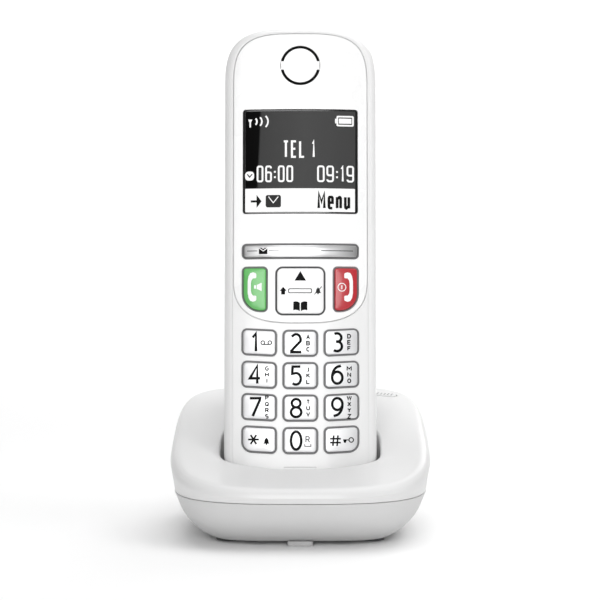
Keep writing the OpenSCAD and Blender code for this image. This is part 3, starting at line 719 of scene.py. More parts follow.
# Capitals of the small letter stacks
OVAL = arc((0, 0), 0.5, 90, 450, 25)
SMALL = {
    "A": [[(-0.5, -0.5), (0, 0.5), (0.5, -0.5)], [(-0.33, -0.18), (0.33, -0.18)]],
    "B": [bend((-0.5, 0), (-0.5, 0.5), arc((0.15, 0.26), 0.28, 90, -90, 8, 0.24), (-0.5, 0.02)),
          bend((-0.5, 0.02), arc((0.15, -0.24), 0.34, 90, -90, 8, 0.26), (-0.5, -0.5), (-0.5, 0.02))],
    "C": [arc((0.05, 0), 0.52, 50, 310, 16, 0.5)],
    "D": [bend((-0.5, 0), (-0.5, 0.5), arc((-0.05, 0), 0.52, 90, -90, 12, 0.5), (-0.5, -0.5), (-0.5, 0))],
    "E": DISPLAY["E"], "F": [[(0.45, 0.5), (-0.45, 0.5), (-0.45, -0.5)], [(-0.45, 0.02), (0.3, 0.02)]],
    "G": [bend(arc((0.05, 0), 0.52, 50, 320, 16, 0.5), (0.46, -0.04), (0.1, -0.04))],
    "H": [[(-0.5, 0.5), (-0.5, -0.5)], [(0.5, 0.5), (0.5, -0.5)], [(-0.5, 0), (0.5, 0)]],
    "I": [[(0, 0.5), (0, -0.5)]], "J": [bend((0.3, 0.5), arc((-0.1, -0.25), 0.4, 0, -130, 8, 0.25))],
    "K": [[(-0.45, 0.5), (-0.45, -0.5)], [(0.45, 0.5), (-0.42, -0.05)], [(-0.15, 0.12), (0.5, -0.5)]],
    "L": DISPLAY["L"], "M": DISPLAY["M"], "N": [[(-0.5, -0.5), (-0.5, 0.5), (0.5, -0.5), (0.5, 0.5)]],
    "O": [OVAL], "P": [bend((-0.45, -0.5), (-0.45, 0.5), arc((0.12, 0.23), 0.33, 90, -90, 8, 0.27),
                            (-0.45, -0.04))],
    "Q": [OVAL, [(0.05, -0.15), (0.5, -0.55)]],
    "R": [bend((-0.45, -0.5), (-0.45, 0.5), arc((0.1, 0.24), 0.33, 90, -90, 8, 0.26), (-0.45, -0.02)),
          [(0.05, -0.02), (0.5, -0.5)]],
    "S": [bend(arc((0, 0.25), 0.44, 50, 250, 12, 0.25), arc((0, -0.25), 0.46, 80, -130, 12, 0.25))],
    "T": DISPLAY["T"], "U": [bend((-0.48, 0.5), arc((0, -0.15), 0.48, 180, 360, 12, 0.35), (0.48, 0.5))],
    "V": [[(-0.5, 0.5), (0, -0.5), (0.5, 0.5)]], "W": [[(-0.5, 0.5), (-0.26, -0.5), (0, 0.4), (0.26, -0.5),
                                                        (0.5, 0.5)]],
    "X": [[(-0.5, 0.5), (0.5, -0.5)], [(-0.5, -0.5), (0.5, 0.5)]],
    "Y": [[(-0.5, 0.5), (0, 0)], [(0.5, 0.5), (0, 0), (0, -0.5)]],
    "Z": [[(-0.5, 0.5), (0.45, 0.5), (-0.5, -0.5), (0.5, -0.5)]],
}


def letters(word, box, w, key, top, gap=0.62):
    """Display word filling a box (x0, y0, x1, y1), each letter as wide as the rest."""
    x0, y0, x1, y1 = box
    units = [{":": 0.35, "1": 0.62, " ": 0.4, "M": 1.25, "e": 0.95, "n": 0.95, "u": 0.95}.get(c,
                                                                                              1.0) for c in word]
    gap_w = w * gap
    k = ((x1 - x0) - gap_w * (len(word) - 1)) / sum(units)
    x = x0
    for c, u in zip(word, units):
        wide = k * u
        mid = (x + wide / 2, (y0 + y1) / 2)
        if c == ":":
            for h in (-0.2, 0.12):
                m = (mid[0], mid[1] + h * (y1 - y0))
                mark([rect(m[0] - w / 2, m[1] - w / 2, m[0] + w / 2, m[1] + w / 2)], key, top)
        elif c != " ":
            draw(DISPLAY[c], w, key, top, mid, (wide, y1 - y0))
        x += wide + gap_w


# ---------------------------------------------------------------- base
def rim_ring(a, bf, bb, dz, da, dk, n=256):
    """Ring of the base's edge, da smaller and dk higher at the sides, where the edge is rolled."""
    k = np.cos(angles(n)) ** 4
    q = plan(a, bf, bb, 3, 3.6, 0.05, n) * (1 - k)[:, None] + plan(a - da, bf, bb, 3, 3.6, 0.05, n) * k[:,
                                                                                                        None]
    return sloped(q, dz + dk * k)


def build_base():
    seam = plan(41.8, 50.2, 49, 3, 3.4, 0.05)
    mid = plan(39.1, 46, 45, 3.3, 3.5, 0.04)
    low = plan(35.1, 40.3, 40, 3.7, 3.7, 0.03)
    foot = plan(31, 35, 36, 4.2, 4.2, 0.03)
    crest = rim_ring(40.7, 48, 48.4, 0.2, 1.4, 0.0)
    lip = edge_ring(1.3, 0.1)
    under_lip = edge_ring(3.3, -2.0)
    under = sloped(plan(39.2, 46.6, 47, 3, 3.6, 0.05), -2.2)
    seam_in = plan(39.8, 48.2, 47, 3, 3.4, 0.05)
    seam_bev = plan(41.68, 50.08, 48.88, 3, 3.4, 0.05)
    top = [axis_ring(-5.4, -0.4), axis_ring(-2.2, 0.3), axis_ring(-0.5, 1.6), axis_ring(0, 3.4),
           edge_ring(0, -2.2), edge_ring(0.1, -1.0), edge_ring(0.5, -0.25), lip,
           ease(crest, lip, 0.82), ease(crest, lip, 0.6), ease(crest, lip, 0.38), ease(crest, lip, 0.18),
           crest, rim_ring(41.9, 49.3, 49.7, -0.06, 0.65, -0.2), rim_ring(42.5, 50, 50.4, -0.55, 0.35, -0.46),
           rim_ring(42.95, 50.6, 50.9, -1.35, 0.1, -1.0), rim_ring(43.1, 51, 51, -2.6, 0, -1.4)]
    side = [top[-1], flat(seam, SEAM_Z + 0.35), flat(seam_bev, SEAM_Z + 0.1)]
    rings = smooth_rings(top, steps=4)
    a, b = side[0], side[1]
    rings += [a + (b - a) * t for t in (0.33, 0.67)] + [b, side[2]]
    rings += [flat(seam_in, SEAM_Z + 0.1), rim_ring(40.9, 48.4, 48.4, -3.6, 0, -1.0), under,
              ease(under, under_lip, 0.25), ease(under, under_lip, 0.5), ease(under, under_lip, 0.78),
              under_lip, edge_ring(2, -4), axis_ring(2, 2.6), axis_ring(1.2, 0.3),
              axis_ring(-0.6, -1.4), axis_ring(-4.4, -2.4)]
    v, f = loft(rings)
    up = make("base_upper", v, f, SHELL, "base", ["base_upper_shell"], 50)
    slots = []
    for s in (-1, 1):
        w = to_base([s * 9.0, 2.0, -1.4])
        slots.append(w)
    cutters = []
    for w in slots:
        q = block([-1.9, -1.4, -5], [1.9, 1.4, 5], 0.5)
        vv = np.asarray(q[0])
        c, s = math.cos(LEAN), math.sin(LEAN)
        vv = np.stack([vv[:, 0], vv[:, 1] * c + vv[:, 2] * s, -vv[:, 1] * s + vv[:, 2] * c], -1) + w
        cutters.append((vv, q[1]))
    pc = page_prism(0.35, 30, 50)
    cutters.append(pc)
    cut(up, cutters)
    rings = smooth_rings([flat(plan(29.5, 33.5, 34.5, 4.2, 4.2, 0.03), FOOT_H - 0.0),
                          flat(foot, FOOT_H + 0.35),
                          flat(low, 4.4), flat(mid, 9.2), flat(seam, SEAM_Z - 0.35)], steps=6)
    rings += [flat(seam_bev, SEAM_Z - 0.1), flat(seam_in, SEAM_Z - 0.1),
              flat(plan(36.9, 43.9, 42.9, 3.3, 3.5, 0.04), 9.6),
              flat(plan(32.9, 38, 37.7, 3.7, 3.7, 0.03), 5),
              flat(plan(29.6, 33.6, 34.6, 4.2, 4.2, 0.03), 3.3)]
    v, f = loft(rings)
    lo = make("base_lower", v, f, LOWER, "base", ["base_lower_shell"], 50)
    holes = []
    for x, y in ((-14, -30), (14, -30), (-27, 14), (27, 14)):
        holes.append(lathe([(0.01, -1), (3.1, -1), (3.1, 3.0), (1.7, 3.0), (1.7, 9), (0.01, 9)], (x, y)))
    for s in (-1, 1):
        holes.append(block([s * 12 - 6.2, 34, 6], [s * 12 + 6.2, 54, 14.2], 0.6))
    cut(lo, holes)
    feet = [lathe([(0.01, 0.0), (3.5, 0.0), (3.85, 0.12), (4.0, 0.45), (4.0, FOOT_H + 0.3),
                   (0.01, FOOT_H + 0.3)], p)
            for p in ((-24, -23), (24, -23), (-24, 26), (24, 26))]
    v, f = join(feet)
    make("feet", v, f, RUBBER, "base", ["base_feet"], 60)
    fn = box_shape((0, -34.6), 8.4, 4.0, [0.9, 0.9, 0.5, 0.5])
    rings = [flat(fn(-0.2), 0.02), flat(fn(0.0), 0.2), flat(fn(0.0), FOOT_H + 0.2),
             flat(fn(-0.3), FOOT_H + 0.3)]
    v, f = loft(rings)
    make("tab", v, f, TAB, "base", ["front_tab"], 35)


def page_prism(d, z0, z1):
    a = math.radians(-14)
    rot = np.array([[math.cos(a), -math.sin(a)], [math.sin(a), math.cos(a)]])
    q = box_shape((0, 0), 11, 5, 2.4)(d) @ rot.T + np.array([28.5, 32])
    return loft([flat(q, z0), flat(q, z1)])


def top_height(q):
    """Height of the base's top surface above plan points, by the same blend as the shell."""
    n = 720
    crest = rim_ring(40.7, 48, 48.4, 0.2, 1.4, 0.0, n)
    q0, z0 = pocket(1.3, n), edge_z(np.sin(angles(n))) + 0.1
    vv = (z0 - HS_Z + q0[:, 1] * math.sin(LEAN)) / math.cos(LEAN)
    lip = to_base(np.column_stack([q0, vv]))
    ts = np.linspace(0, 1, 60)
    cloud = np.concatenate([ease(crest, lip, t) for t in ts])
    out = []
    for p in q:
        d = ((cloud[:, :2] - p) ** 2).sum(1)
        k = np.argsort(d)[:6]
        w = 1 / (d[k] + 1e-4)
        out.append((cloud[k, 2] * w).sum() / w.sum())
    return np.array(out)


def build_paging():
    a = math.radians(-14)
    rot = np.array([[math.cos(a), -math.sin(a)], [math.sin(a), math.cos(a)]])
    fn = box_shape((0, 0), 11, 5, 2.4)

    def at(d):
        return fn(d) @ rot.T + np.array([28.5, 32])

    rings = []
    for d, h in ((-2.2, 0.3), (-1.2, 0.3), (-0.5, 0.27), (-0.2, 0.16), (0.0, -0.12)):
        q = at(d)
        rings.append(np.column_stack([q, top_height(q) + h]))
    rings.append(flat(at(0.0), 35.5))
    rings.append(flat(at(0.8), 35.5))
    rings.append(flat(at(0.8), 34.6))
    v, f = loft(rings)
    make("paging_cap", v, f, SHELL, "paging_key", ["paging_key"], 40)
    dots = []
    for r in (-1, 1):
        for k in range(-3, 4):
            c = np.array([k * 1.25, r * 0.8]) @ rot.T + np.array([28.5, 32])
            z = float(top_height([c])[0]) + 0.3
            dots.append(lathe([(0.01, z - 0.1), (0.36, z - 0.1), (0.33, z + 0.02), (0.2, z + 0.04),
                               (0.01, z + 0.045)], c, 16))
    v, f = join(dots)
    make("paging_marks", v, f, INK_SOFT, "paging_key")


def cut(ob, solids):
    """Takes solids out of a piece, leaving the result in its mesh."""
    v, f = join(solids)
    me = bpy.data.meshes.new("cutter")
    me.from_pydata([tuple(float(k) * MM for k in p) for p in v], [], [tuple(int(k) for k in q) for q in f])
    tool = bpy.data.objects.new("cutter", me)
    bpy.context.scene.collection.objects.link(tool)
    m = ob.modifiers.new("cut", "BOOLEAN")
    m.object = tool
    m.operation = "DIFFERENCE"
    m.solver = "EXACT"
    m.use_self = True
    dg = bpy.context.evaluated_depsgraph_get()
    dg.update()
    new = bpy.data.meshes.new_from_object(ob.evaluated_get(dg))
    old = ob.data
    ob.modifiers.remove(m)
    ob.data = new
    bpy.data.meshes.remove(old)
    bpy.data.objects.remove(tool)
    bpy.data.meshes.remove(me)
    new.polygons.foreach_set("use_smooth", [True] * len(new.polygons))
    new.set_sharp_from_angle(angle=math.radians(40))


# ---------------------------------------------------------------- handset
WIN_C, WIN_W, WIN_H = (0.0, 109.26), 38.6, 35.3
EAR_V, EAR_R, EAR_CAP = 141.9, 6.65, 5.88
KEY_HOLE = 0.5
window_fn = box_shape(WIN_C, WIN_W, WIN_H, 0.9)
soft_fn = box_shape((0, 78.84), 38.4, 4.3, 1.1)
nav_fn = box_shape((0, 65.45), 15.9, 15.5, 2.0)
talk_fn = box_shape((-15.27, 66.04), 7.8, 14.4, [5.8, 1.1, 1.1, 1.1])
end_fn = box_shape((15.27, 66.04), 7.8, 14.4, [1.1, 5.8, 1.1, 1.1])
KEYS = [("key_1", -1, 3), ("key_2", 0, 3), ("key_3", 1, 3), ("key_4", -1, 2), ("key_5", 0, 2),
        ("key_6", 1, 2),
        ("key_7", -1, 1), ("key_8", 0, 1), ("key_9", 1, 1), ("key_star", -1, 0), ("key_0", 0, 0),
        ("key_hash", 1, 0)]


def key_centre(col, row):
    return np.array([col * 13.75, 15.3 + row * 10.85 + (0.35 if col else 0.0)])


def digit_fn(col, row):
    low = 3.2 if row == 0 else 1.4
    return box_shape(key_centre(col, row), 11.0, 8.1,
                     [low if col < 0 else 1.4, low if col > 0 else 1.4, 1.4, 1.4], col * 0.65)


def world(v):
    return to_base(v)


def build_front():
    key_holes = [digit_fn(c, r) for _, c, r in KEYS]
    grown = [(lambda d, g=g: g(d + KEY_HOLE)) for g in key_holes]
    parts = []
    # keypad field and the land under the plate's edge, as one curved plate with holes
    recess = lambda d: fascia(d + 0.12)
    mic = box_shape((0, 6.2), 10.6, 0.45, 0.2)
    v, f = plate(lambda d: outline(2.7 - d), [recess] + grown + [mic], 2.0, 0.22, step=1.6)
    parts.append((v, f))
    parts.append(plate(box_shape((0, 6.2), 11.6, 1.4, 0.3), [], 0.8, 0.02, step=2, top=-0.28, seg=1))
    # land under the plate
    v, f = plate(lambda d: fascia(d + 0.4), [lambda d: window_fn(d + 0.3), lambda d: soft_fn(d + 0.55),
                 lambda d: nav_fn(d + 0.55), lambda d: talk_fn(d + 0.55), lambda d: end_fn(d + 0.55),
                 circle_shape((0, EAR_V), 7.6)], 0.9, 0.02, step=3, top=-1.06, seg=1)
    parts.append((v, f))
    # rim and sides
    rings = smooth_rings([hs_ring(2.7, FACE_Y + 0.06, 1), hs_ring(2.0, FACE_Y + 0.16, 1),
                          hs_ring(1.2, FACE_Y + 0.6, 1),
                          hs_ring(0.4, FACE_Y + 1.7, 0.95), hs_ring(0, FACE_Y + 4, 0.8),
                          hs_ring(0.02, -5.5, 0.3),
                          hs_ring(0.05, PART_Y - 0.35, 0)], steps=5)
    rings += [hs_ring(0.3, PART_Y - 0.12, 0), hs_ring(1.7, PART_Y - 0.12, 0), hs_ring(1.7, FACE_Y + 4.5, 0.8),
              hs_ring(2.9, FACE_Y + 1.7, 1), hs_ring(2.75, FACE_Y + 0.3, 1)]
    rings.append(rings[0])
    v, f = loft(rings, caps=False)
    v = np.asarray(v)
    parts.append((v, oriented(v, f)))
    v, f = join(parts)
    make("handset_front", world(v), f, HOUSING, "handset", ["handset_front_shell"], 38)


def build_fascia():
    holes = [lambda d: window_fn(d + 0.08), lambda d: soft_fn(d + KEY_HOLE), lambda d: nav_fn(d + KEY_HOLE),
             lambda d: talk_fn(d + KEY_HOLE), lambda d: end_fn(d + KEY_HOLE),
             circle_shape((0, EAR_V), EAR_R + 0.06)]
    v, f = plate(lambda d: fascia(d - 0.14), holes, 1.0, 0.2, step=1.6)
    make("fascia", world(v), f, WHITE, "handset", ["handset_fascia"], 38)
    # earpiece cap with its two bridges
    ang = math.asin(1.45 / EAR_CAP)
    right = arc((0, EAR_V), EAR_CAP, math.degrees(ang), 180 - math.degrees(ang), 40)
    left = arc((0, EAR_V), EAR_CAP, 180 + math.degrees(ang), 360 - math.degrees(ang), 40)
    reach = EAR_R - 0.02
    pts = np.concatenate([right, [(-reach, EAR_V + 1.45), (-reach, EAR_V - 1.45)], left,
                          [(reach, EAR_V - 1.45), (reach, EAR_V + 1.45)]])
    c = np.array([0, EAR_V])

    def cap(d):
        q = pts - c
        r = np.linalg.norm(q, axis=1)[:, None]
        return c + q * (r + d - 0.1) / r

    v, f = plate(cap, [], 1.0, 0.08, step=1.2)
    make("earpiece_cap_fine", world(v), f, WHITE, "handset", ["earpiece_cap"], 38)
    parts = [plate(circle_shape((0, EAR_V), 7.4), [], 0.3, 0.02, step=2.5, top=-1.12, seg=1)]
    for a0 in (0, 180):
        gap = math.degrees(math.asin(1.62 / 6.2))
        ring = np.concatenate([arc((0, EAR_V), EAR_R - 0.03, a0 + gap, a0 + 180 - gap, 48),
                               arc((0, EAR_V), EAR_CAP + 0.03, a0 + 180 - gap, a0 + gap, 48)])
        parts.append(plate(lambda d, q=ring: q, [], 1.0, 0.0, step=3, top=-0.3, seg=1))
    v, f = join(parts)
    make("earpiece_felt", world(v), f, CLOTH, "handset", ["earpiece_cloth"], 38)


def build_window():
    v, f = plate(window_fn, [], 0.85, 0.12, step=1.6, top=-0.02)
    make("window_glass", world(v), f, BLACK, "handset", ["display_window"], 38)
    top = -0.02
    # the display's painted glow: grey fading to the right, black at the left
    k = ("handset", SCREEN_PAINTED_GLOW)
    mark([rounded(rect(-18.45, 100.15, 18.55, 126.35), [0.3] * 4)], k, top, depth=0.04)
    lit = ("handset", LIT)
    top = 0.0
    mark([rounded(rect(-18.55, 92.15, 18.4, 100.05), [0.2] * 4)], lit, top)
    # aerial, signal and battery signs
    draw([[(0, 0.5), (0, -0.5)]], 0.5, lit, top, (-16.9, 122.0), (0.5, 2.7))
    stamp([(-17.6, 123.6), (-16.2, 123.6), (-16.6, 122.6), (-17.2, 122.6)], lit, top)
    for x, r, a in ((-15.4, 1.35, 50), (-14.05, 1.9, 48), (-12.4, 2.6, 46)):
        stamp(stroke(arc((x - r * 0.42, 122.85), r, -a, a, 16), 0.55), lit, top)
    stamp(rounded(rect(12.2, 121.2, 18.05, 124.8), [0.5] * 4), lit, top,
          holes=[rounded(rect(12.75, 121.75, 17.5, 124.25), [0.2] * 4)])
    stamp(rect(11.7, 122.2, 12.3, 123.8), lit, top)
    stamp(rect(13.0, 122.15, 17.25, 123.85), lit, top)
    letters("TEL 1", (-5.9, 110.4, 5.1, 116.35), 0.7, lit, top, 0.9)
    letters("06:00", (-14.7, 102.2, -2.4, 107.85), 0.62, lit, top, 0.95)
    letters("09:19", (5.65, 102.2, 18.1, 107.85), 0.62, lit, top, 0.95)
    stamp(rounded(rect(-18.6, 102.85, -15.55, 105.9), [1.15] * 4), lit, top)
    dark = ("handset", INK)
    over = 0.03
    stamp(stroke([(-17.85, 105.0), (-17.1, 104.0), (-16.2, 105.0)], 0.36), dark, over)
    # lower bar: arrow, envelope and menu
    stamp([(-16.65, 95.4), (-14.7, 95.4), (-14.7, 93.55), (-13.05, 95.75), (-14.7, 97.95), (-14.7, 96.1),
           (-16.65, 96.1)], dark, over)
    grey = ("handset", INK_SOFT)
    stamp(rounded(rect(-11.65, 93.65, -6.5, 97.85), [0.7] * 4), grey, over)
    stamp(stroke([(-10.7, 97.3), (-9.1, 95.2), (-7.4, 97.3)], 0.3), lit, over + 0.03)
    letters("Menu", (5.75, 92.95, 16.8, 98.95), 0.92, dark, over, 0.7)


def key_relief(fn, crown):
    """Slight pillow over a key's outline."""
    base = fn(0.0)
    c = (base.min(0) + base.max(0)) / 2
    h = (base.max(0) - base.min(0)) / 2

    def relief(q):
        t = np.clip(np.abs((q - c) / h), 0, 1)
        return crown * (1 - t[:, 0] ** 2.6) * (1 - t[:, 1] ** 2.6) - crown
    return relief


def build_key(name, fn, body, mat, crown=0.22, bevel=0.4, thick=4.0, proud=0.6):
    relief = key_relief(fn, crown)
    v, f = plate(lambda d: fn(d - KEY_INSET), [], thick, bevel, step=0.9, top=proud, relief=relief, seg=5)
    make(name, world(v), f, mat, body, [body], 40)
    return relief


KEY_INSET = 0.12
PROUD = 0.6
PEN = 0.88
# digits stand left of the key's middle, and the column of letters right of it
DIGIT_SHIFT = -1.4
DIGIT_W, DIGIT_H = 4.3, 6.85
ONE_W = 2.4
STACK_SHIFT = 2.6
LETTER_PITCH, LETTER_H = 2.05, 1.6
STACKS = {"2": "ABC", "3": "DEF", "4": "GHI", "5": "JKL", "6": "MNO", "7": "PQRS", "8": "TUV", "9": "WXYZ"}


def build_keys():
    for name, col, row in KEYS:
        fn = digit_fn(col, row)
        relief = build_key(name + "_cap", fn, name, KEY)
        ink = (name, INK, relief)
        digit = name[4:]
        x, v = key_centre(col, row)
        if digit.isdigit():
            w = ONE_W if digit == "1" else DIGIT_W
            draw(DIGITS[digit], PEN, ink, PROUD, (x + DIGIT_SHIFT, v), (w, DIGIT_H))
        word = STACKS.get(digit, "")
        for i, ch in enumerate(word):
            w = 0.9 if ch == "J" else 1.75 if ch in "MW" else 1.35
            up = LETTER_PITCH * ((len(word) - 1) / 2 - i)
            draw(SMALL[ch], 0.38, ink, PROUD, (x + STACK_SHIFT, v + up), (w, LETTER_H))
    relief = key_relief(digit_fn(-1, 3), 0.22)
    soft = ("key_1", INK_SOFT, relief)
    mark([stroke(arc((-12.55, 48.05), 0.6, 0, 360, 25), 0.38),
          stroke(arc((-10.2, 48.05), 0.6, 0, 360, 25), 0.38),
          stroke([(-12.55, 47.45), (-10.2, 47.45)], 0.38)], soft, PROUD, rule="any")
    relief = key_relief(digit_fn(-1, 0), 0.22)
    ink = ("key_star", INK, relief)
    m = np.array([-15.62, 15.7])
    mark([stroke([m - 1.8 * np.array([math.cos(t), math.sin(t)]),
                  m + 1.8 * np.array([math.cos(t), math.sin(t)])], 0.58)
          for t in np.radians((0, 58, 122))], ink, PROUD, rule="any")
    bell((-11.28, 15.1), 1.0, ink)
    relief = key_relief(digit_fn(0, 0), 0.22)
    soft = ("key_0", INK_SOFT, relief)
    draw(SMALL["R"], 0.34, soft, PROUD, (2.44, 15.7), (1.6, 2.2))
    mark([stroke([(1.5, 14.15), (1.5, 13.4), (3.5, 13.4), (3.5, 14.15)], 0.28)], soft, PROUD)
    relief = key_relief(digit_fn(1, 0), 0.22)
    ink = ("key_hash", INK, relief)
    m = np.array([11.71, 15.29])
    mark([stroke([m + (k - 0.15, -1.75), m + (k + 0.15, 1.75)], 0.55) for k in (-0.7, 0.7)]
         + [stroke([m + (-1.8, k), m + (1.8, k)], 0.55) for k in (-0.65, 0.65)], ink, PROUD, rule="any")
    mark([stroke(arc((17.0, 15.56), 0.75, 0, 360, 25), 0.34), stroke([(14.3, 15.56), (16.4, 15.56)], 0.34),
          [(14.3, 15.6), (15.5, 15.6), (15.2, 14.6), (14.6, 14.6)]], ink, PROUD, rule="any")


def bell(c, k, ink):
    """Filled bell sign, its middle at c."""
    body = np.array([(-1.05, -0.8), (1.05, -0.8), (0.75, -0.35), (0.66, 0.3), (0.42, 0.8), (0.16, 0.98),
                     (0.12, 1.2),
                     (-0.12, 1.2), (-0.16, 0.98), (-0.42, 0.8), (-0.66, 0.3),
                     (-0.75, -0.35)]) * k + np.array(c)
    mark([body, arc((c[0], c[1] - 0.95 * k), 0.28 * k, 0, 345, 16)], ink, PROUD, rule="any")


def receiver(c, w, h, side):
    """Standing telephone receiver in a box w by h round c, open towards side."""
    p = np.array([(0.62, 0.5), (0.3, 0.475), (0.1, 0.37), (0.0, 0.2), (0.0, -0.2), (0.1, -0.37),
                  (0.3, -0.475), (0.62, -0.5),
                  (0.95, -0.47), (1.0, -0.43), (1.0, -0.33), (0.95, -0.3), (0.6, -0.29), (0.44, -0.22),
                  (0.38, -0.12),
                  (0.38, 0.12), (0.44, 0.22), (0.6, 0.29), (0.95, 0.3), (1.0, 0.33), (1.0, 0.43),
                  (0.95, 0.47)])
    return (p - (0.5, 0)) * (side * w, h) + np.array(c)


def build_call_keys():
    rel = build_key("talk_cap", talk_fn, "talk_key", GREEN, crown=0.3, bevel=0.45)
    ink = ("talk_key", INK_WHITE, rel)
    stamp(receiver((-16.2, 66.8), 2.9, 9.9, 1), ink, PROUD)
    mark([rect(-15.5, 66.25, -14.85, 67.4), [(-14.6, 66.15), (-12.95, 65.4), (-12.95, 68.2),
                                             (-14.6, 67.5)]], ink, PROUD)
    rel = build_key("end_cap", end_fn, "end_key", RED, crown=0.3, bevel=0.45)
    ink = ("end_key", INK_WHITE, rel)
    stamp(receiver((16.2, 66.8), 2.9, 9.9, -1), ink, PROUD)
    c = (13.95, 66.7)
    mark([stroke(arc(c, 1.32, 0, 360, 41), 0.26)], ink, PROUD, rule="odd")
    mark([stroke([(c[0], c[1] - 0.65), (c[0], c[1] + 0.65)], 0.3)], ink, PROUD)


def build_nav():
    rel = build_key("nav_cap", nav_fn, "nav_key", NAV, crown=0.35, bevel=0.5)
    ink = ("nav_key", INK, rel)
    soft = ("nav_key", INK_SOFT, rel)
    stamp([(-1.95, 68.85), (1.95, 68.85), (0.0, 72.1)], ink, PROUD)
    mark([rounded(rect(-4.1, 64.6, 3.95, 66.25), [0.55] * 4),
          rounded(rect(-3.8, 64.9, 3.65, 65.95), [0.4] * 4)],
         soft, PROUD)
    mark([[(-6.9, 65.45), (-6.4, 65.45), (-6.4, 64.2), (-5.1, 64.2), (-5.1, 65.45), (-4.6, 65.45),
           (-5.75, 66.8)]], ink, PROUD)
    bell((5.95, 65.45), 0.95, soft)
    mark([stroke([(4.7, 64.2), (7.2, 66.9)], 0.22)], ink, PROUD)
    for k in (-1, 1):
        stamp(np.array([(2.35, 58.9), (2.35, 61.75), (1.6, 61.9), (0.8, 61.8), (0.16, 61.4), (0.16, 58.6),
                        (0.8, 58.95),
                        (1.6, 59.05)]) * (k, 1), ink, PROUD)


def build_soft():
    relief = key_relief(soft_fn, 0.3)
    v, f = plate(lambda d: soft_fn(d - KEY_INSET), [], 4.0, 0.4, step=0.9, top=PROUD, relief=relief, seg=5)
    make("soft_bar", world(v), f, SILVER_PAINTED_REFLECTION, "soft_key_bar", ["soft_key_bar"], 40)
    ink = ("soft_key_bar", INK, relief)
    for x0, x1 in ((-17.9, -14.45), (-10.6, -7.05), (6.95, 17.7)):
        mark([rect(x0, 78.84, x1, 79.08)], ink, PROUD)
    stamp([(-13.9, 77.85), (-11.0, 77.85), (-11.0, 79.75), (-12.45, 78.75), (-13.9, 79.75)], ink, PROUD)
    stamp([(-13.7, 80.0), (-13.0, 80.0), (-12.45, 79.5), (-11.9, 80.0), (-11.2, 80.0), (-12.45, 79.05)],
          ink, PROUD)


def build_mat():
    """Grey silicone keypad mat standing just under the face; its dark grey in the gaps round the keys is painted
    shade for those gaps.
    """
    parts = []
    # lips of the dark grey mat raised into the gaps round each key: painted shade for the gaps
    for fn, top, gap in [(digit_fn(c, r), -0.55, 0.02) for _, c, r in KEYS] + [
            (soft_fn, -0.6, 0.06), (nav_fn, -0.6, 0.24), (talk_fn, -0.6, 0.02), (end_fn, -0.6, 0.02)]:
        v, f = plate(lambda d, fn=fn: fn(d + KEY_HOLE - 0.01), [lambda d, fn=fn, gap=gap: fn(d + gap)], 3.3,
                     0.02, step=3, top=top, seg=1)
        parts.append((v, f))
    v, f = plate(box_shape((0, 44.2), 42.4, 78.4, 4), [], 1.2, 0.05, step=2, top=-4.5, seg=1)
    parts.append((v, f))
    v, f = join(parts)
    make("silicone_mat_and_gap_shade", world(v), f, MAT_AND_GAP_SHADE, "handset", ["keypad_mat"], 40)


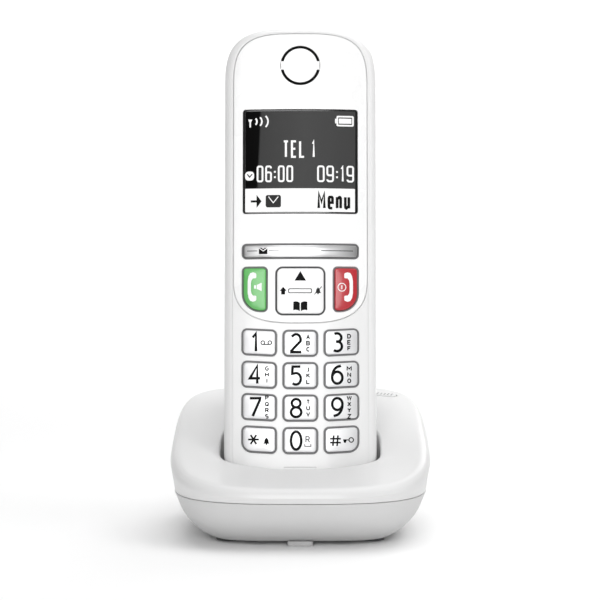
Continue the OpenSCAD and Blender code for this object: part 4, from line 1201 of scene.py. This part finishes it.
def build_rear():
    rings = [hs_ring(1.7, PART_Y + 0.12), hs_ring(0.3, PART_Y + 0.12), hs_ring(0.1, PART_Y + 0.35)]
    rings += smooth_rings([hs_ring(0.1, PART_Y + 0.35), hs_ring(0.5, 2), hs_ring(1.6, 6), hs_ring(4, 9.5),
                           hs_ring(7.2, 11.8),
                           hs_ring(11, 13), hs_ring(15, 13.5)], steps=6)[1:]
    rings += [hs_ring(19.5, 13.56), hs_ring(19.5, 11.9), hs_ring(14.7, 11.8), hs_ring(11.7, 11.4),
              hs_ring(8.5, 10.3), hs_ring(5.6, 8.4),
              hs_ring(3.4, 5.3), hs_ring(2.2, 1.6)]
    outer = rings[:-8]
    # the flat middle of the back is closed across the narrow ring
    v, f = loft([r for r in outer])
    full = (v, f)
    hol = [hs_ring(1.7, PART_Y - 2), hs_ring(2.2, 1.6), hs_ring(3.4, 5.3), hs_ring(5.6, 8.4),
           hs_ring(8.5, 10.3),
           hs_ring(11.7, 11.4), hs_ring(14.7, 11.8)]
    hollow = loft(smooth_rings(hol, steps=3))
    ob = make("handset_rear", world(full[0]), full[1], HOUSING, "handset", ["handset_rear_shell"],
              38)
    cover = box_shape((0, 83), 38, 66, 6)
    tools = [(world(hollow[0]), hollow[1])]
    tools.append(prism(lambda: cover(0.0), 8.8, 20))
    for k in range(-3, 4):
        tools.append(prism(lambda k=k: box_shape((0, 131 + 2.2 * k), 14 - abs(k) * 1.6, 1.0, 0.45)(), 9.5,
                           20))
    for s in (-1, 1):
        tools.append(prism(lambda s=s: circle_shape((s * 16.8, 134), 2.4, 48)(), 2.0, 20))
    w = block([-3, -0.2, -2], [3, 4.2, 2.6], 0.3)
    for s in (-1, 1):
        vv = np.asarray(w[0]) + np.array([s * 9.0, 0, 0])
        tools.append((world(vv), w[1]))
    cut_each(ob, tools)
    # bay tray and ledge behind the cover
    bay = [block([-12.8, -1.8, 55.5], [12.8, -0.8, 110.5], 0.2),
           block([-12.8, -1.8, 55.5], [-11.8, 9.2, 110.5], 0.2),
           block([11.8, -1.8, 55.5], [12.8, 9.2, 110.5], 0.2),
           block([-12.8, -1.8, 55.5], [12.8, 9.2, 56.5], 0.2),
           block([-12.8, -1.8, 109.5], [12.8, 9.2, 110.5], 0.2)]
    ledge = [block([-20.8, 8.2, 50.2], [-12.6, 9.1, 115.8], 0.2),
             block([12.6, 8.2, 50.2], [20.8, 9.1, 115.8], 0.2),
             block([-12.7, 8.2, 48.6], [12.7, 9.1, 55.7], 0.2),
             block([-12.7, 8.2, 110.3], [12.7, 9.1, 117.2], 0.2)]
    v, f = join(bay + ledge)
    make("battery_tray", world(v), f, SHELL, "handset")
    # cover cut from the same back surface
    cob = make("cover_panel", world(full[0]), full[1], HOUSING, "battery_cover", ["battery_cover"],
               38)
    keep(cob, prism(lambda: cover(-0.22), 9.6, 20))
    cut_each(cob, [(world(hollow[0]), hollow[1])] + [prism(lambda k=k: box_shape((0, 103 + 1.6 * k), 12,
                                                                                 0.7, 0.3)(), 13.25, 20)
                                                    for k in range(-2, 3)])


def prism(fn, y0, y1):
    q = fn()
    a = np.column_stack([q[:, 0], np.full(len(q), y0), q[:, 1]])
    b = np.column_stack([q[:, 0], np.full(len(q), y1), q[:, 1]])
    v, f = loft([a, b])
    return world(v), f


def bool_with(ob, solid, how):
    v, f = solid
    me = bpy.data.meshes.new("cutter")
    me.from_pydata([tuple(float(k) * MM for k in p) for p in v], [], [tuple(int(k) for k in q) for q in f])
    tool = bpy.data.objects.new("cutter", me)
    bpy.context.scene.collection.objects.link(tool)
    m = ob.modifiers.new("cut", "BOOLEAN")
    m.object = tool
    m.operation = how
    m.solver = "EXACT"
    dg = bpy.context.evaluated_depsgraph_get()
    dg.update()
    new = bpy.data.meshes.new_from_object(ob.evaluated_get(dg))
    old = ob.data
    ob.modifiers.remove(m)
    ob.data = new
    bpy.data.meshes.remove(old)
    bpy.data.objects.remove(tool)
    bpy.data.meshes.remove(me)
    new.polygons.foreach_set("use_smooth", [True] * len(new.polygons))
    new.set_sharp_from_angle(angle=math.radians(38))


def cut_each(ob, solids):
    for s in solids:
        bool_with(ob, s, "DIFFERENCE")


def keep(ob, solid):
    bool_with(ob, solid, "INTERSECT")


def finish_cad():
    """Gives every CAD node that still shows its own procedural material."""
    table = {"base_screws": STEEL, "handset_screws": STEEL, "base_pcb": BOARD, "handset_pcb": BOARD,
             "base_rf_shield": STEEL, "base_antenna": GOLD, "handset_antenna": GOLD,
             "charge_contact_holder": DARK,
             "paging_switch": DARK, "power_socket": DARK, "line_socket": GREY, "charge_contact_left": GOLD,
             "charge_contact_right": GOLD, "earpiece_speaker": DARK, "display_gasket": RUBBER,
             "lcd_module": GREY,
             "display_light_guide": PALE, "microphone": DARK, "handsfree_speaker": DARK, "battery_left": CELL,
             "battery_right": CELL, "battery_spring_contacts": STEEL, "battery_plate_contacts": STEEL,
             "handset_charge_contacts": GOLD, "nav_pivot": DARK}
    for n, m in table.items():
        ob = frame["nodes"][n]
        ob.data.materials.clear()
        ob.data.materials.append(m)
        bv = ob.modifiers.new("edge", "BEVEL")
        bv.width = 0.00015
        bv.segments = 2
        bv.limit_method = "ANGLE"


# ---------------------------------------------------------------- stage
def build_stage():
    sc = bpy.context.scene
    floor = bpy.data.materials.new("floor")
    floor.use_nodes = True
    b = floor.node_tree.nodes["Principled BSDF"]
    b.inputs["Base Color"].default_value = (0.95, 0.95, 0.95, 1)
    b.inputs["Roughness"].default_value = 0.9
    b.inputs["Specular IOR Level"].default_value = 0.1
    n = 64
    depth, r = 2600.0, 900.0
    prof = [(-2600.0, 0.0), (depth - r, 0.0)]
    prof += [(depth - r + r * math.sin(a), r - r * math.cos(a)) for a in np.linspace(0, math.pi / 2, 24)[1:]]
    prof.append((depth, 3800.0))
    verts, faces = [], []
    for y, z in prof:
        verts += [(-4000.0, y, z - 0.02), (4000.0, y, z - 0.02)]
    for k in range(len(prof) - 1):
        faces.append((2 * k, 2 * k + 1, 2 * k + 3, 2 * k + 2))
    make("studio_floor", verts, faces, floor, None, stage=True)
    w = bpy.data.worlds.new("studio")
    w.use_nodes = True
    w.node_tree.nodes["Background"].inputs["Color"].default_value = (1, 1, 1, 1)
    w.node_tree.nodes["Background"].inputs["Strength"].default_value = 0.2
    sc.world = w

    def area(name, loc, target, sx, sy, power, color=(1, 1, 1)):
        l = bpy.data.lights.new(name, "AREA")
        l.shape = "RECTANGLE"
        l.size, l.size_y = sx, sy
        l.energy = power
        l.color = color
        o = bpy.data.objects.new(name, l)
        o.location = loc
        o.rotation_euler = (Vector(target) - Vector(loc)).to_track_quat("-Z", "Y").to_euler()
        sc.collection.objects.link(o)
        return o

    area("overhead", (0.22, 0.05, 1.25), (0, 0, 0), 1.5, 1.5, 14)
    area("front", (-0.12, -1.5, 0.55), (0, 0, 0.08), 0.85, 0.75, 11.0)
    area("right", (0.95, -0.35, 0.6), (0, 0, 0.05), 0.6, 0.8, 1.4)
    area("back_right", (0.55, 0.95, 0.72), (0, 0, 0.03), 0.5, 0.5, 1.5)
    area("back_wash", (0.0, 1.2, 1.6), (0, 2.4, 0.9), 3.0, 1.0, 35)

    cam = bpy.data.cameras.new("camera")
    cam.sensor_width = 36.0
    cam.lens = 159.06
    cam.shift_x = -0.0005
    cam.clip_end = 20
    o = bpy.data.objects.new("camera", cam)
    e = math.radians(4.5)
    target = Vector((0, 0, 0.0782))
    o.location = target + Vector((0, -math.cos(e), math.sin(e))) * 0.9
    o.rotation_euler = (target - o.location).to_track_quat("-Z", "Y").to_euler()
    sc.collection.objects.link(o)
    sc.camera = o
    sc.view_settings.view_transform = "Standard"


build_base()
build_paging()
build_front()
build_fascia()
build_window()
build_keys()
build_call_keys()
build_nav()
build_soft()
build_mat()
build_rear()
finish_cad()
for i, ((body, mat), parts) in enumerate(inks.items()):
    v, f = join(parts)
    make("marks_%s_%s" % (body, mat.name), world(v), f, mat, body, sharp=30)
build_stage()
